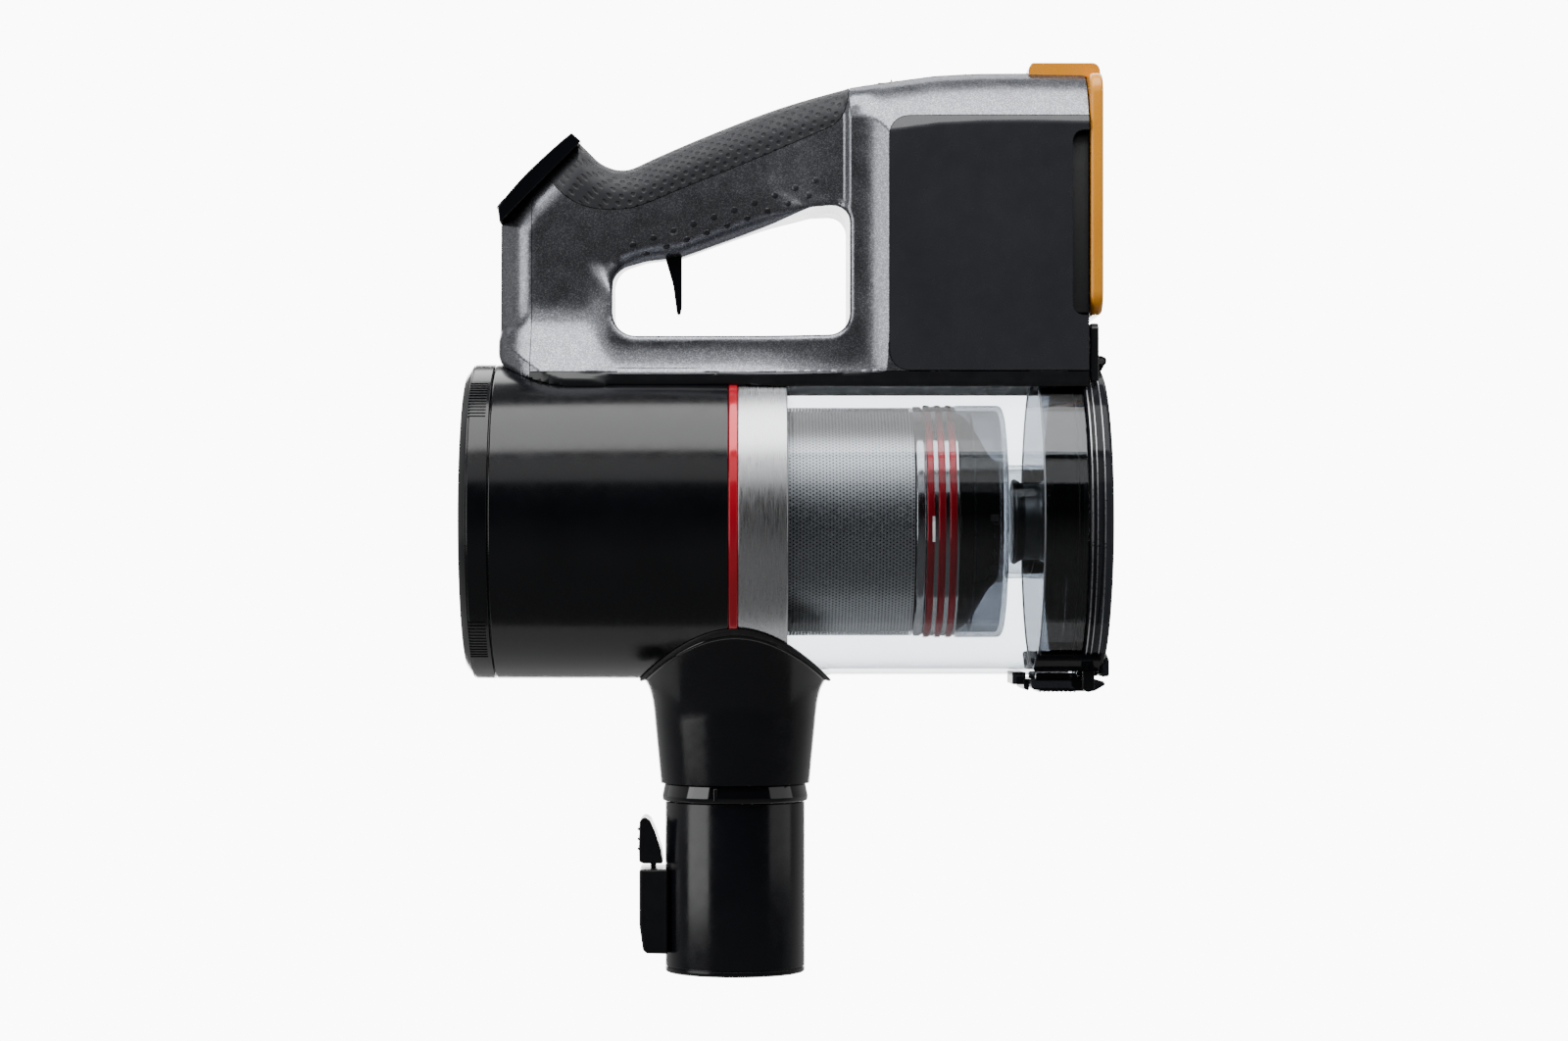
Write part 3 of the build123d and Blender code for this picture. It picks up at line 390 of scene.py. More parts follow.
def bars_on_cap(name, turns, places, radii, lean, material):
    """Small bars at each turn, over (place, half width) along the axis and between two radii."""
    box = ((0, 1, 3, 2), (4, 6, 7, 5), (0, 2, 6, 4), (1, 5, 7, 3), (0, 4, 5, 1), (2, 3, 7, 6))
    verts, faces = [], []
    for t in turns:
        faces += [[len(verts) + i for i in face] for face in box]
        verts += [on_circle(x, r, t + side / r + lean * (r - radii[0]))
                  for x, w in places for r in radii for side in (-w, w)]
    add_piece(name, verts, faces, material, "exhaust", slot="housing_black")


def build_exhaust_cap():
    """Drum end with a rolled rim, a ring of air slots and a domed middle."""
    a = span("exhaust_cap")[0]
    rim = arcs([
        (a + 7, 61.4), (a + 11.6, 61.4, 0.2), (a + 11.6, BODY_R, 0.5), (a + 3.9, BODY_R, 0.3),
        (a + 3.5, BODY_R - 0.35), (a + 3.1, BODY_R - 0.2, 0.3), (a, BODY_R - 4.4, 1.6), (a, 57.0, 1.0),
        (a + 2.4, 57.0), (a + 2.6, 59.0), (a + 18.0, 59.0, 0.3), (a + 18.0, 60.8, 0.3), (a + 11.0, 60.8)])
    lathe("exhaust_cap_rim", rim, DRUM_BLACK, "exhaust", segments=256,
          replaces=["exhaust_cap"], slot="housing_black")
    dome = arcs([
        (a + 0.2, 0.01), (a + 0.2, 22.0, 6), (a + 1.4, 30.0, 1.0), (a + 3.0, 30.0, 0.3),
        (a + 3.0, 0.01)], 6)
    lathe("exhaust_cap_dome", dome, GLOSS_BLACK, "exhaust", slot="housing_black", segments=128)
    for k, r in enumerate((34.5, 39.5, 44.5, 49.5, 54.0)):
        tube(f"exhaust_ring_{k}", a + 1.0, a + 2.8, r + 0.5, r - 0.5, DRUM_BLACK, "exhaust", 0.3,
             slot="housing_black", segments=128)
    blades = 60
    bars_on_cap("exhaust_blades", [2 * math.pi * n / blades for n in range(blades)],
                ((a + 0.7, 0.45), (a + 3.0, 0.7)), (29.0, 57.8), 0.010, DRUM_BLACK)
    # fine ribs for the fingers, in four groups round the rim
    groups = (49.0, 131.0, 229.0, 311.0)
    turns = [math.radians(middle + 1.55 * (n - 6)) for middle in groups for n in range(13)]
    bars_on_cap("cap_grip_ribs", turns, ((a + 3.2, 0.3), (a + 10.2, 0.3)),
                (BODY_R - 0.4, BODY_R + 0.32), 0, SATIN_BLACK)


# ---------------------------------------------------------------- neck and wand tube
NECK_FOOT = 76.8  # height of the neck's lower end


def neck_rim(t):
    """Plan radius of the neck's rim: wider towards the machine's sides than towards its ends."""
    return 36.7 + 8.6 * math.sin(t) ** 2


def on_drum(plan, t, r):
    """The point at a plan radius and angle about Z, on the underside of a drum of radius r."""
    x, y = plan * math.cos(t), plan * math.sin(t)
    return x, y, AXIS_Z - math.sqrt(r * r - y * y)


def cone_radius(z):
    return 30.4 + (z - NECK_FOOT) * 0.0966


def neck_line(t):
    """Points up the neck at one angle: a slight cone that swells into a rim lying on the drum."""
    rim, side = neck_rim(t), math.sin(t) ** 2
    top = on_drum(rim, t, BODY_R + 0.9)[2]
    start, bend = top - 13.0 - 15.0 * side, top - 3.6 - 9.2 * side
    swell_r = cone_radius(bend) + 1.6 * side
    line = [(cone_radius(z), z) for z in np.linspace(NECK_FOOT, start, 12, endpoint=False)]
    for k in np.linspace(0, 1, 23):
        a, b, c = (1 - k) ** 2, 2 * k * (1 - k), k * k
        line.append((a * cone_radius(start) + b * swell_r + c * rim, a * start + b * bend + c * top))
    return [(r * math.cos(t), r * math.sin(t), z) for r, z in line]


def build_neck():
    turns = np.arange(ROUND) * 2 * math.pi / ROUND

    def neck_section(t):
        bore = on_drum(22.0, t, BODY_R + 0.2)
        return neck_line(t) + [on_drum(neck_rim(t) - 0.3, t, BODY_R + 0.2), bore, (*bore[:2], NECK_FOOT)]

    def along_rim(outline):
        return [[on_drum(neck_rim(t) + out, t, BODY_R + r) for out, r in outline] for t in turns]

    sections = [neck_section(t) for t in turns]
    ring_piece("neck", sections, TUBE_BLACK, "body", replaces=["inlet_neck"], slot="neck_plastic")
    lip = arcs([(-0.5, 0.3, 0.1), (0.25, 0.3, 0.3), (0.25, 1.15, 0.35), (-0.6, 1.2, 0.2)], 4)
    ring_piece("neck_lip", along_rim(lip), GLOSS_BLACK, "body", slot="neck_plastic")
    band = arcs([(0.3, 0.2), (2.3, 0.2, 0.1), (2.3, 0.7, 0.3), (1.7, 1.1, 0.4), (0.3, 0.7, 0.1)], 4)
    ring_piece("neck_band", along_rim(band), RUBBER, "body", replaces=["neck_seal"], slot="seal_rubber")


def build_wand_tube():
    collar = arcs([(69.6, 22.2), (69.6, 29.7, 0.7), (71.6, 29.9, 0.8), (76.6, 28.9, 0.6), (76.6, 22.2)])
    lathe("collar", collar, GLOSS_BLACK, "body", axis="Z", replaces=["neck_collar"], slot="neck_plastic")
    wall = arcs([
        (0, 24.0, 0.4), (0, 28.5, 0.9), (2.1, 28.5, 0.1), (2.25, 28.0), (2.6, 28.0), (2.75, 28.5, 0.1),
        (69.3, 28.5, 0.5), (69.3, 22.0), (62.0, 22.0), (62.0, 24.0)])
    lathe("socket_tube", wall, TUBE_BLACK, "body", axis="Z", replaces=["wand_tube"], slot="neck_plastic")
    # a small key that stops the collar from turning
    prism("collar_key", rounded_box((-8.6, 70.4), (-7.2, 75.6), 0.4), 1.0, GLOSS_BLACK, "body", 0.2,
          centre=-28.2, slot="neck_plastic")


def build_wand_latch():
    outline = arcs([
        (-27.2, 42.2), (-38.8, 42.2, 1.0), (-38.8, 20.0, 6.0), (-37.3, 9.6, 1.4), (-35.8, 8.2, 0.8),
        (-27.2, 8.0)], 6)
    prism("latch_case", outline, 13.8, SATIN_BLACK, "body", 1.6, replaces=["latch_box"], slot="neck_plastic")
    lever = arcs([
        (-29.3, 44.4, 0.5), (-30.0, 50.0, 2), (-32.3, 57.0, 6), (-34.4, 61.8, 1.6), (-36.8, 63.6, 1.8),
        (-38.7, 61.6, 1.6), (-39.0, 52.0, 10), (-38.9, 45.2, 1.0), (-37.0, 44.4, 0.5)], 6)
    prism("latch_lever", lever, 12.0, SATIN_BLACK, "wand_lever", 1.1,
          replaces=["wand_latch"], slot="neck_plastic")
    hook = arcs([
        (-32.2, 44.0), (-34.4, 44.0), (-34.4, 13.2, 0.5), (-25.6, 13.2, 0.4), (-26.4, 17.6, 0.4),
        (-32.2, 17.6, 0.6)], 3)
    prism("latch_hook", hook, 4.6, SATIN_BLACK, "wand_lever", 0.3, slot="neck_plastic")
    for k, z in enumerate((50.2, 54.2, 58.2)):
        rib = arcs([(-38.4, z - 0.7), (-39.7, z - 0.35, 0.3), (-39.7, z + 0.35, 0.3), (-38.4, z + 0.7)], 3)
        prism(f"latch_rib_{k}", rib, 8.5, TUBE_BLACK, "wand_lever", 0.25, slot="neck_plastic")


# ---------------------------------------------------------------- handle
TOP_LINE = [(-63.2, 336.6), (-59.5, 333.0), (-55.2, 328.9), (-50.8, 326.6), (-46.5, 325.7), (-41.6, 326.4),
            (-31.9, 330.8), (-17.4, 337.1), (2.0, 344.8), (21.4, 351.2), (46.1, 357.6), (58.5, 361.0),
            (80.8, 364.0), (98.7, 364.9), (118.0, 365.0), (REAR_X, 364.6), (REAR_X + 40, 363.0)]
PART_LINE = [(-77.5, 325.0), (-76.1, 322.6), (-69.9, 315.3), (-62.2, 310.5), (-52.6, 308.6), (-45.0, 308.8),
             (-37.4, 310.5), (-22.0, 316.8), (-2.8, 324.4), (16.4, 331.9), (35.5, 339.6), (40.8, 342.6),
             (44.3, 348.2), (46.4, 360.0)]
FRONT_LINE = arcs([
    (-60.0, 230.0), (-83.8, 238.6, 10.0), (-96.2, 247.2, 9.0), (-95.6, 262.0, 20), (-95.4, 304.4, 1.2),
    (-63.2, 336.6)], 8)
OUTER = FRONT_LINE[:-1] + curve_points(TOP_LINE, 6) + [(REAR_X + 40, 230.0)]
OPENING = arcs([
    (-49.4, 257.4, 9.5), (-49.4, 284.6, 9.0), (-36.0, 288.6, 16), (-21.4, 290.4, 5), (30.5, 308.9, 14),
    (45.9, 309.8, 9.5), (45.9, 257.4, 8.5)], 8)


def height_of(line, x):
    return np.interp(x, *np.array(line).T)


def smooth(t):
    t = np.clip(t, 0, 1)
    return t * t * (3 - 2 * t)


def outline_distance(x, z, outline):
    """Signed distance in the side view to a closed outline: negative inside."""
    p = np.stack([x.ravel(), z.ravel()], 1)
    a = np.array(outline, float)
    best = np.full(len(p), 1e9)
    inside = np.zeros(len(p), bool)
    for (ax, az), (bx, bz) in zip(a, np.roll(a, -1, 0)):
        ex, ez = bx - ax, bz - az
        length = ex * ex + ez * ez
        if length < 1e-12:
            continue
        t = np.clip(((p[:, 0] - ax) * ex + (p[:, 1] - az) * ez) / length, 0, 1)
        d = (p[:, 0] - ax - t * ex) ** 2 + (p[:, 1] - az - t * ez) ** 2
        np.minimum(best, d, out=best)
        if ez:
            crosses = (az > p[:, 1]) != (bz > p[:, 1])
            inside ^= crosses & (p[:, 0] < (p[:, 1] - az) * ex / ez + ax)
    d = np.sqrt(best)
    return np.where(inside, -d, d).reshape(x.shape)


def swell(t, length, steepest):
    """Rise of a surface whose slope angle grows evenly from nothing to `steepest` over a length."""
    return -length / steepest * np.log(np.cos(steepest * np.clip(t, 0, 1)))


def half_width(x, z, wide):
    """Half width of the handle where nothing rounds it off."""
    loop = 17.4 + 1.1 * np.clip((x + 20) / 60, 0, 1)
    # the battery housing stands out behind the loop, and the base swells out below it
    step = 3.2 * smooth((z - 304.0) / 8.0)
    housing = swell((x - 46.5) / 15.0, 15.0, 0.72) + step * smooth((x - 43.2) / 3.4)
    housing = housing + (11.8 - step) * smooth((x + 8.0) / 56.0)
    shelf = swell((256.5 - z) / 15.0, 15.0, 0.56) + 5.0 * smooth((300.0 - z) / 44.0)
    shelf = shelf + 8.4 * smooth((242.7 - z) / 1.4)
    slope = swell((272.6 - z) / 16.5, 16.5, 0.65) + 0.76 * np.maximum(256.1 - z, 0)
    base = shelf + (slope - shelf) * smooth((-46.0 - x) / 18.0)
    width = loop + np.minimum((housing**3 + base**3) ** (1 / 3), SIDE_HALF - loop)
    # the nose and the foot are rounded in plan
    nose = np.clip((-77.6 - x) / 18.4, 0, 1)
    nose_width = 2.0 + 15.6 * np.sqrt(1 - nose**2) + np.minimum(base, 18)
    width = np.minimum(width, np.where(x < -77.6, nose_width, 99))
    foot = np.clip((-60.0 - x) / 37.0, 0, 1)
    width = np.minimum(width, SIDE_HALF * np.sqrt(np.maximum(1 - foot**2.4, 0.0)) + 0.5)
    # the housing's top is a broad crown that meets its side panels at an edge
    crown = SIDE_HALF * np.clip((height_of(TOP_LINE, x) - z) / 23.1, 0.0, 1.0) ** (1 / 3)
    return width + (np.minimum(width, crown) - width) * wide


def side_fields(x, z):
    """Everything about the handle that depends only on the side view."""
    wide = smooth((x - 42.0) / 18.0)
    width = half_width(x, z, wide)
    low = np.clip((262.0 - z) / 6.0, 0, 1)
    soft = 12.5 - 10.5 * wide
    soft = np.minimum(soft + (2.2 - soft) * low * (1 - wide), np.maximum(width, 0.6))
    grip_under = smooth((z - 274.0) / 16.0) * smooth((32.0 - x) / 20.0)
    gap_soft = 2.2 + 13.0 * grip_under
    return outline_distance(x, z, OUTER), outline_distance(x, z, OPENING), width, soft, gap_soft


def round_max(a, b, r):
    """The larger of two distances, with the edge between them rounded to r."""
    u, v = np.maximum(a + r, 0), np.maximum(b + r, 0)
    return np.minimum(np.maximum(a, b), -r) + np.sqrt(u * u + v * v)


def handle_distance(y, z, fields):
    """Distance to the handle: outline and sides, less the finger opening and the drum's hollow."""
    outer, gap, width, soft, gap_soft = fields
    solid = round_max(outer, np.abs(y) - width, soft)
    solid = round_max(solid, -gap, gap_soft)
    return round_max(solid, HANDLE_GAP - np.sqrt(y * y + (z - AXIS_Z) ** 2), 0.4)


UNIT = np.eye(3, dtype=int)


def cell_points(values, shape):
    """For each cell of the grid, the mean place at which the surface crosses its edges."""
    total, count = np.zeros((*shape, 3)), np.zeros(shape)

    def corner(d):
        return values[d[0]: d[0] + shape[0], d[1]: d[1] + shape[1], d[2]: d[2] + shape[2]]

    for axis in range(3):
        u, v = [k for k in range(3) if k != axis]
        for d in (0 * UNIT[u], UNIT[v], UNIT[u], UNIT[u] + UNIT[v]):
            a, b = corner(d), corner(d + UNIT[axis])
            cut = (a < 0) != (b < 0)
            t = np.where(cut, a / np.where(cut, a - b, 1), 0)
            for k in range(3):
                total[..., k] += np.where(cut, d[k] + (t if k == axis else 0), 0)
            count += cut
    return total, count


def surface_net(cell, lo, hi):
    """A smooth closed mesh of the handle, one point for each cell of a grid that its surface crosses."""
    xs, ys, zs = (np.arange(lo[k], hi[k] + cell, cell) for k in range(3))
    fields = [f[:, None, :] for f in side_fields(*np.meshgrid(xs, zs, indexing="ij"))]
    values = handle_distance(ys[None, :, None], zs[None, None, :], fields)
    inside = values < 0
    shape = tuple(n - 1 for n in values.shape)
    total, count = cell_points(values, shape)
    active = count > 0
    index = np.full(shape, -1)
    index[active] = np.arange(active.sum())
    verts = (np.argwhere(active) + total[active] / count[active][:, None]) * cell + np.array(lo)
    quads = []
    for axis in range(3):
        u, v = [k for k in range(3) if k != axis]
        step = UNIT[axis]
        a = inside[: shape[0] + 1 - step[0], : shape[1] + 1 - step[1], : shape[2] + 1 - step[2]]
        b = inside[step[0]:, step[1]:, step[2]:]
        edges = np.argwhere(a != b)
        keep = (edges[:, u] > 0) & (edges[:, v] > 0) & (edges[:, u] < shape[u]) & (edges[:, v] < shape[v])
        edges = edges[keep]
        out = a[tuple(edges.T)]
        corners = (UNIT[u] + UNIT[v], UNIT[v], 0 * UNIT[u], UNIT[u])
        face = np.stack([index[tuple((edges - p).T)] for p in corners], 1)
        flip = out if axis != 1 else ~out
        face[~flip] = face[~flip][:, ::-1]
        quads.append(face)
    return verts, np.concatenate(quads)


def settle(verts, rounds=3, h=0.02):
    """Moves the points onto the exact surface."""
    for _ in range(rounds):
        x, y, z = verts.T
        here = side_fields(x, z)
        f = handle_distance(y, z, here)
        moved = (handle_distance(y, z, side_fields(x + h, z)), handle_distance(y + h, z, here),
                 handle_distance(y, z + h, side_fields(x, z + h)))
        g = (np.stack(moved, 1) - f[:, None]) / h
        size = np.maximum((g**2).sum(1), 0.25)
        verts = verts - np.clip(f / size, -0.6, 0.6)[:, None] * g
    return verts


def cut_mesh(verts, tris, level):
    """Splits the triangles where level(points) is zero, and gives the pieces below and above it."""
    g = level(verts)
    g = np.where(np.abs(g) < 1e-6, 1e-6, g)
    edges = np.sort(np.concatenate([tris[:, [0, 1]], tris[:, [1, 2]], tris[:, [2, 0]]]), 1)
    edges = np.unique(edges, axis=0)
    cut = edges[(g[edges[:, 0]] < 0) != (g[edges[:, 1]] < 0)]
    t = g[cut[:, 0]] / (g[cut[:, 0]] - g[cut[:, 1]])
    new = verts[cut[:, 0]] + (verts[cut[:, 1]] - verts[cut[:, 0]]) * t[:, None]
    key = {tuple(e): len(verts) + i for i, e in enumerate(cut.tolist())}
    below = g < 0
    tb = below[tris].sum(1)
    low, high = tris[tb == 3].tolist(), tris[tb == 0].tolist()
    for tri in tris[(tb == 1) | (tb == 2)].tolist():
        lone = bool(sum(below[v] for v in tri) == 1)
        k = next(i for i in range(3) if bool(below[tri[i]]) == lone)
        a, b, c = tri[k], tri[(k + 1) % 3], tri[(k + 2) % 3]
        ab, ac = key[tuple(sorted((a, b)))], key[tuple(sorted((a, c)))]
        (low if lone else high).append([a, ab, ac])
        (high if lone else low).extend([[ab, b, c], [ab, c, ac]])
    low, high = (np.array(part, int).reshape(-1, 3) for part in (low, high))
    return np.concatenate([verts, new]), low, high


def split(verts, tris, level, gap=0.14):
    """Two pieces with a fine gap between them."""
    verts, low, rest = cut_mesh(verts, tris, lambda p: level(p) + gap)
    verts, _, high = cut_mesh(verts, rest, lambda p: level(p) - gap)
    return verts, low, high


def shell_piece(name, verts, tris, material, replaces, slot, lip=2.2):
    """One moulded piece of the handle: its outer skin with its edges turned inward."""
    used, tris = np.unique(tris, return_inverse=True)
    bm = bmesh.new()
    points = [bm.verts.new(v) for v in verts[used] * MM]
    seen = set()
    for tri in tris.reshape(-1, 3).tolist():
        key = frozenset(tri)
        if len(key) == 3 and key not in seen:
            seen.add(key)
            bm.faces.new([points[i] for i in tri])
    bmesh.ops.remove_doubles(bm, verts=bm.verts, dist=0.00004)
    bm.normal_update()
    rim = [e for e in bm.edges if e.is_boundary]
    turned = bmesh.ops.extrude_edge_only(bm, edges=rim)["geom"]
    normals = {v: v.normal.copy() for e in rim for v in e.verts}
    for v in [v for v in turned if isinstance(v, bmesh.types.BMVert)]:
        mates = [e.other_vert(v) for e in v.link_edges if e.other_vert(v) in normals]
        if mates:
            v.co -= normals[mates[0]] * lip * MM
    mesh = bpy.data.meshes.new(name)
    bm.to_mesh(mesh)
    bm.free()
    return place_mesh(name, mesh, material, "body", replaces, slot, 42)


def build_handle():
    """The handle's skin, cut into nose, base strip, grip cover, side panels and two shells."""
    cell = 1.1
    verts, quads = surface_net(cell, (-99.0, -39.0, 233.0), (REAR_X + 3, 39.0, 369.0))
    verts = settle(verts)
    tris = np.concatenate([quads[:, [0, 1, 2]], quads[:, [0, 2, 3]]])
    grip_outline = curve_points(PART_LINE, 6) + [(46.4, 380.0), (-120.0, 380.0), (-120.0, 325.0)]
    panel_outline = rounded_box((61.4, 242.6), (REAR_X + 8, 344.4), 8.0)
    recess_outline = rounded_box((134.4, 264.6), (REAR_X + 8, 338.4), 4.4)
    verts, nose, rest = split(verts, tris, lambda p: p[:, 0] + 82.0)
    # the rear face is open, for the battery
    verts, rest, _ = cut_mesh(verts, rest, lambda p: p[:, 0] - (REAR_X - 0.5))
    verts, strip, rest = split(verts, rest, lambda p: p[:, 2] - 242.3)
    verts, grip, rest = split(verts, rest, lambda p: outline_distance(p[:, 0], p[:, 2], grip_outline))
    halves = {}
    for side, name in ((-1, "left"), (1, "right")):
        def in_outline(outline, s=side):
            return lambda p: np.where(s * p[:, 1] > 25, outline_distance(p[:, 0], p[:, 2], outline), 5.0)

        verts, half, _ = cut_mesh(verts, rest, lambda p: 0.10 - side * p[:, 1])
        verts, _, half = cut_mesh(verts, half, in_outline(recess_outline))
        verts, panel, half = split(verts, half, in_outline(panel_outline))
        halves[name] = (half, panel)
    for name, (half, panel) in halves.items():
        shell_piece(f"shell_{name}", verts, half, PAINT, [f"handle_{name}"], "dark_metallic")
        shell_piece(f"side_panel_face_{name}", verts, panel, SIDE_DARK, [f"side_panel_{name}"],
                    "side_panel_dark", 1.6)
    shell_piece("nose", verts, nose, PAINT, ["handle_nose"], "dark_metallic")
    shell_piece("base_strip", verts, strip, SATIN_BLACK, ["base_trim"], "seal_rubber")
    lay_out_grip(shell_piece("grip", verts, grip, GRIP, ["grip_cover"], "grip_rubber"))
    build_studs()
    build_bay_lining()


def lay_out_grip(obj):
    """Distances along and round the grip, in metres, for its dimples."""
    x, y, z = np.array([v.co for v in obj.data.vertices]).T / MM
    slope, girth = math.radians(20.0), 15.0
    along = x * math.cos(slope) + z * math.sin(slope)
    centre = 0.5 * (height_of(TOP_LINE, x) + height_of(PART_LINE, x))
    reach = height_of(TOP_LINE, x) - centre
    height = z - centre
    over = np.arctan2(np.abs(y), np.maximum(height, 0.01) / np.maximum(reach, 1) * 17.5) * girth
    turn = np.where(height > 0, over, 0.5 * math.pi * girth - height)
    place = obj.data.attributes.new("grip_place", "FLOAT_VECTOR", "POINT")
    flat = np.stack([along, turn, np.zeros(len(x))], 1) * MM
    place.data.foreach_set("vector", flat.astype(np.float32).ravel())


def side_surface(x, z):
    """Half width of the handle at one place of its side view."""
    near, far = 0.0, SIDE_HALF + 1
    fields = side_fields(np.array([x]), np.array([z]))
    for _ in range(24):
        middle = (near + far) / 2
        if handle_distance(np.array([middle]), np.array([z]), fields)[0] < 0:
            near = middle
        else:
            far = middle
    return near


def stack_faces(first, count, rings):
    """Faces between rings of points that follow each other, and one over the last ring."""
    faces = [(first + count * r + k, first + count * r + (k + 1) % count,
              first + count * (r + 1) + (k + 1) % count, first + count * (r + 1) + k)
             for r in range(rings - 1) for k in range(count)]
    return faces + [tuple(range(first + count * (rings - 1), first + count * rings))]


def build_studs():
    """Two staggered rows of small pads under the loop, for the fingertips, darker than the paint around them
    as painted shade.
    """
    start, end = np.array((-41.2, 294.4)), np.array((32.2, 319.4))
    step = (end - start) / 9
    spots = [start + step * k for k in range(10)]
    spots += [start + step * (k + 0.5) + (1.2, -4.6) for k in range(9)]
    rings, points, h = ((1.45, -0.12), (1.25, 0.22), (0.8, 0.40), (0.3, 0.44)), 14, 0.05
    verts, faces = [], []
    for side in (-1, 1):
        for x, z in spots:
            y = side_surface(x, z)
            slopes = (side_surface(x + h, z) - y) / h, (side_surface(x, z + h) - y) / h
            out = Vector((-slopes[0], side, -slopes[1])).normalized()
            u = out.cross(Vector((0, 0, 1))).normalized()
            v = out.cross(u)
            faces += stack_faces(len(verts), points, len(rings))
            for r, height in rings:
                for t in np.arange(points) * 2 * math.pi / points:
                    across = u * r * math.cos(t) + v * r * math.sin(t)
                    verts.append(Vector((x, side * y, z)) + across + out * height)
    # painted shade: the pads take the dark side-panel plastic instead of the housing's paint, only to look
    # shaded
    add_piece("finger_pads", verts, faces, SIDE_DARK, "body", slot="dark_metallic")


def under_crown(top, half):
    """Cross section of a box whose roof follows the housing's crown, a little inside it."""
    roof = [(y, top - 22.0 * (abs(y) / 34.4) ** 3) for y in np.linspace(half, -half, 41)]
    return [(-half, 266.0), (3.0 - half, 262.6), (half - 3.0, 262.6), (half, 266.0)] + roof


def build_bay_lining():
    """The open box inside the housing that the battery slides into, with a flared mouth."""
    section = np.array(under_crown(361.2, 32.4))
    mouth = section * (1.07, 1.035) - (0, 0.035 * 310)
    n, mouth_x, end_x = len(section), REAR_X - 0.6, 58.0
    rings = ((mouth_x, section), (end_x, section), (mouth_x, mouth))
    verts = [(x, y, z) for x, ring in rings for y, z in ring]
    faces = []
    for i in range(n):
        j = (i + 1) % n
        faces += [(i, j, j + n, i + n), (i + 2 * n, j + 2 * n, j, i)]
    faces.append(tuple(range(n, 2 * n)))
    add_piece("battery_bay", verts, faces, MATTE_BLACK, "body", slot="dark_metallic")


# ---------------------------------------------------------------- control panel, buttons, trigger
def on_panel(across, up, out):
    """A point of the sloping panel: across the machine, up the slope, and out of its face."""
    return Vector((-79.4, across, 320.4)) + (Vector((1, 0, 1)) * up + Vector((-1, 0, 1)) * out) / math.sqrt(2)


def key_on_panel(name, across, up, outline, tall, wide, body, **more):
    """A round or oval key, from an outline of (share of the radius, height)."""
    segments = 64
    verts = [on_panel(across + wide * share * math.cos(t), up + tall * share * math.sin(t), height)
             for share, height in outline for t in np.arange(segments) * 2 * math.pi / segments]
    faces = [tuple(range(segments))[::-1]] + stack_faces(0, segments, len(outline))
    add_piece(name, verts, faces, INNER_GREY, body, slot="button_grey", **more)


def build_panel():
    """Gloss panel on the slope, slightly domed, with four keys standing out of it."""
    arc = [(-66.0, 339.6), (-72.0, 334.6), (-83.8, 323.6), (-92.4, 314.0), (-95.8, 309.2)]
    outline = curve_points(arc, 8) + [(-95.0, 303.4), (-62.2, 336.2)]
    prism("panel", outline, 16.8, GLOSS_BLACK, "body", 0.9, replaces=["control_panel"], slot="panel_black")
    lift = 4.4  # height of the dome above the buttons' seats
    nub = [(1.0, lift + 0.2), (0.9, lift + 2.0), (0.5, lift + 2.3)]

    def profile(height):
        key = ((1.0, 0.0), (1.0, 1.0), (0.97, 1.3), (0.90, 1.42), (0.5, 1.3))
        return [(share, h + height) for share, h in key]

    key_on_panel("power_key", 0, -1.2, profile(lift), 6.4, 6.4, "power", replaces=["power_button"])
    key_on_panel("power_nub", 0, -1.2, nub, 1.4, 1.4, "power")
    key_on_panel("turbo_key", 0, 13.5, profile(lift - 0.9), 3.1, 6.1, "turbo", replaces=["turbo_button"])
    for name, across in (("minus", -8.0), ("plus", 8.0)):
        key_on_panel(f"{name}_key", across, -15.6, profile(lift - 0.6), 4.0, 4.0, name,
                     replaces=[f"{name}_button"])


def build_trigger():
    blade = arcs([
        (-21.6, 302.0, 2), (-21.6, 270.0, 6), (-22.2, 266.8, 0.9), (-23.6, 266.9, 1.0),
        (-25.2, 279.0, 30), (-28.2, 289.2, 6), (-28.2, 302.0, 2)], 6)
    prism("trigger_blade", blade, 6.4, GLOSS_BLACK, "trigger", 1.2,
          replaces=["trigger"], slot="trigger_black")


# ---------------------------------------------------------------- battery cover and rear block
def plate(name, outline, half, material, body, edge, x, node, slot):
    """An outline seen from behind, as a plate centred on x."""
    prism(name, outline, half, material, body, edge, axis="X", centre=x, replaces=[node], slot=slot)


def build_battery_cover():
    back = rounded_box((-35.2, 265.2), (35.2, 362.2), 9.0)
    plate("cover_plate", back, 2.6, AMBER, "battery", 1.5, REAR_X + 2.8, "battery_cover", "amber_cover")
    plate("pack_case", under_crown(359.4, 31.6), 40.7, MATTE_BLACK, "battery", 0.8, 100.7, "battery_case",
          "battery_black")
    cap = arcs([
        (118.4, 362.2, 0.4), (118.6, 366.0, 0.6), (119.8, 368.0, 1.2), (147.0, 368.0, 3.2),
        (148.2, 358.0, 5.0), (146.6, 346.0, 0.5), (145.4, 346.0, 0.3), (145.4, 362.2, 0.3)], 6)
    prism("cover_tab", cap, 15.0, AMBER, "battery", 1.3, slot="amber_cover")
    release = rounded_box((-12.0, 303.0), (12.0, 315.0), 3.0)
    plate("release_key", release, 1.9, SATIN_BLACK, "battery_button", 0.8, REAR_X + 3.8, "battery_release",
          "battery_black")


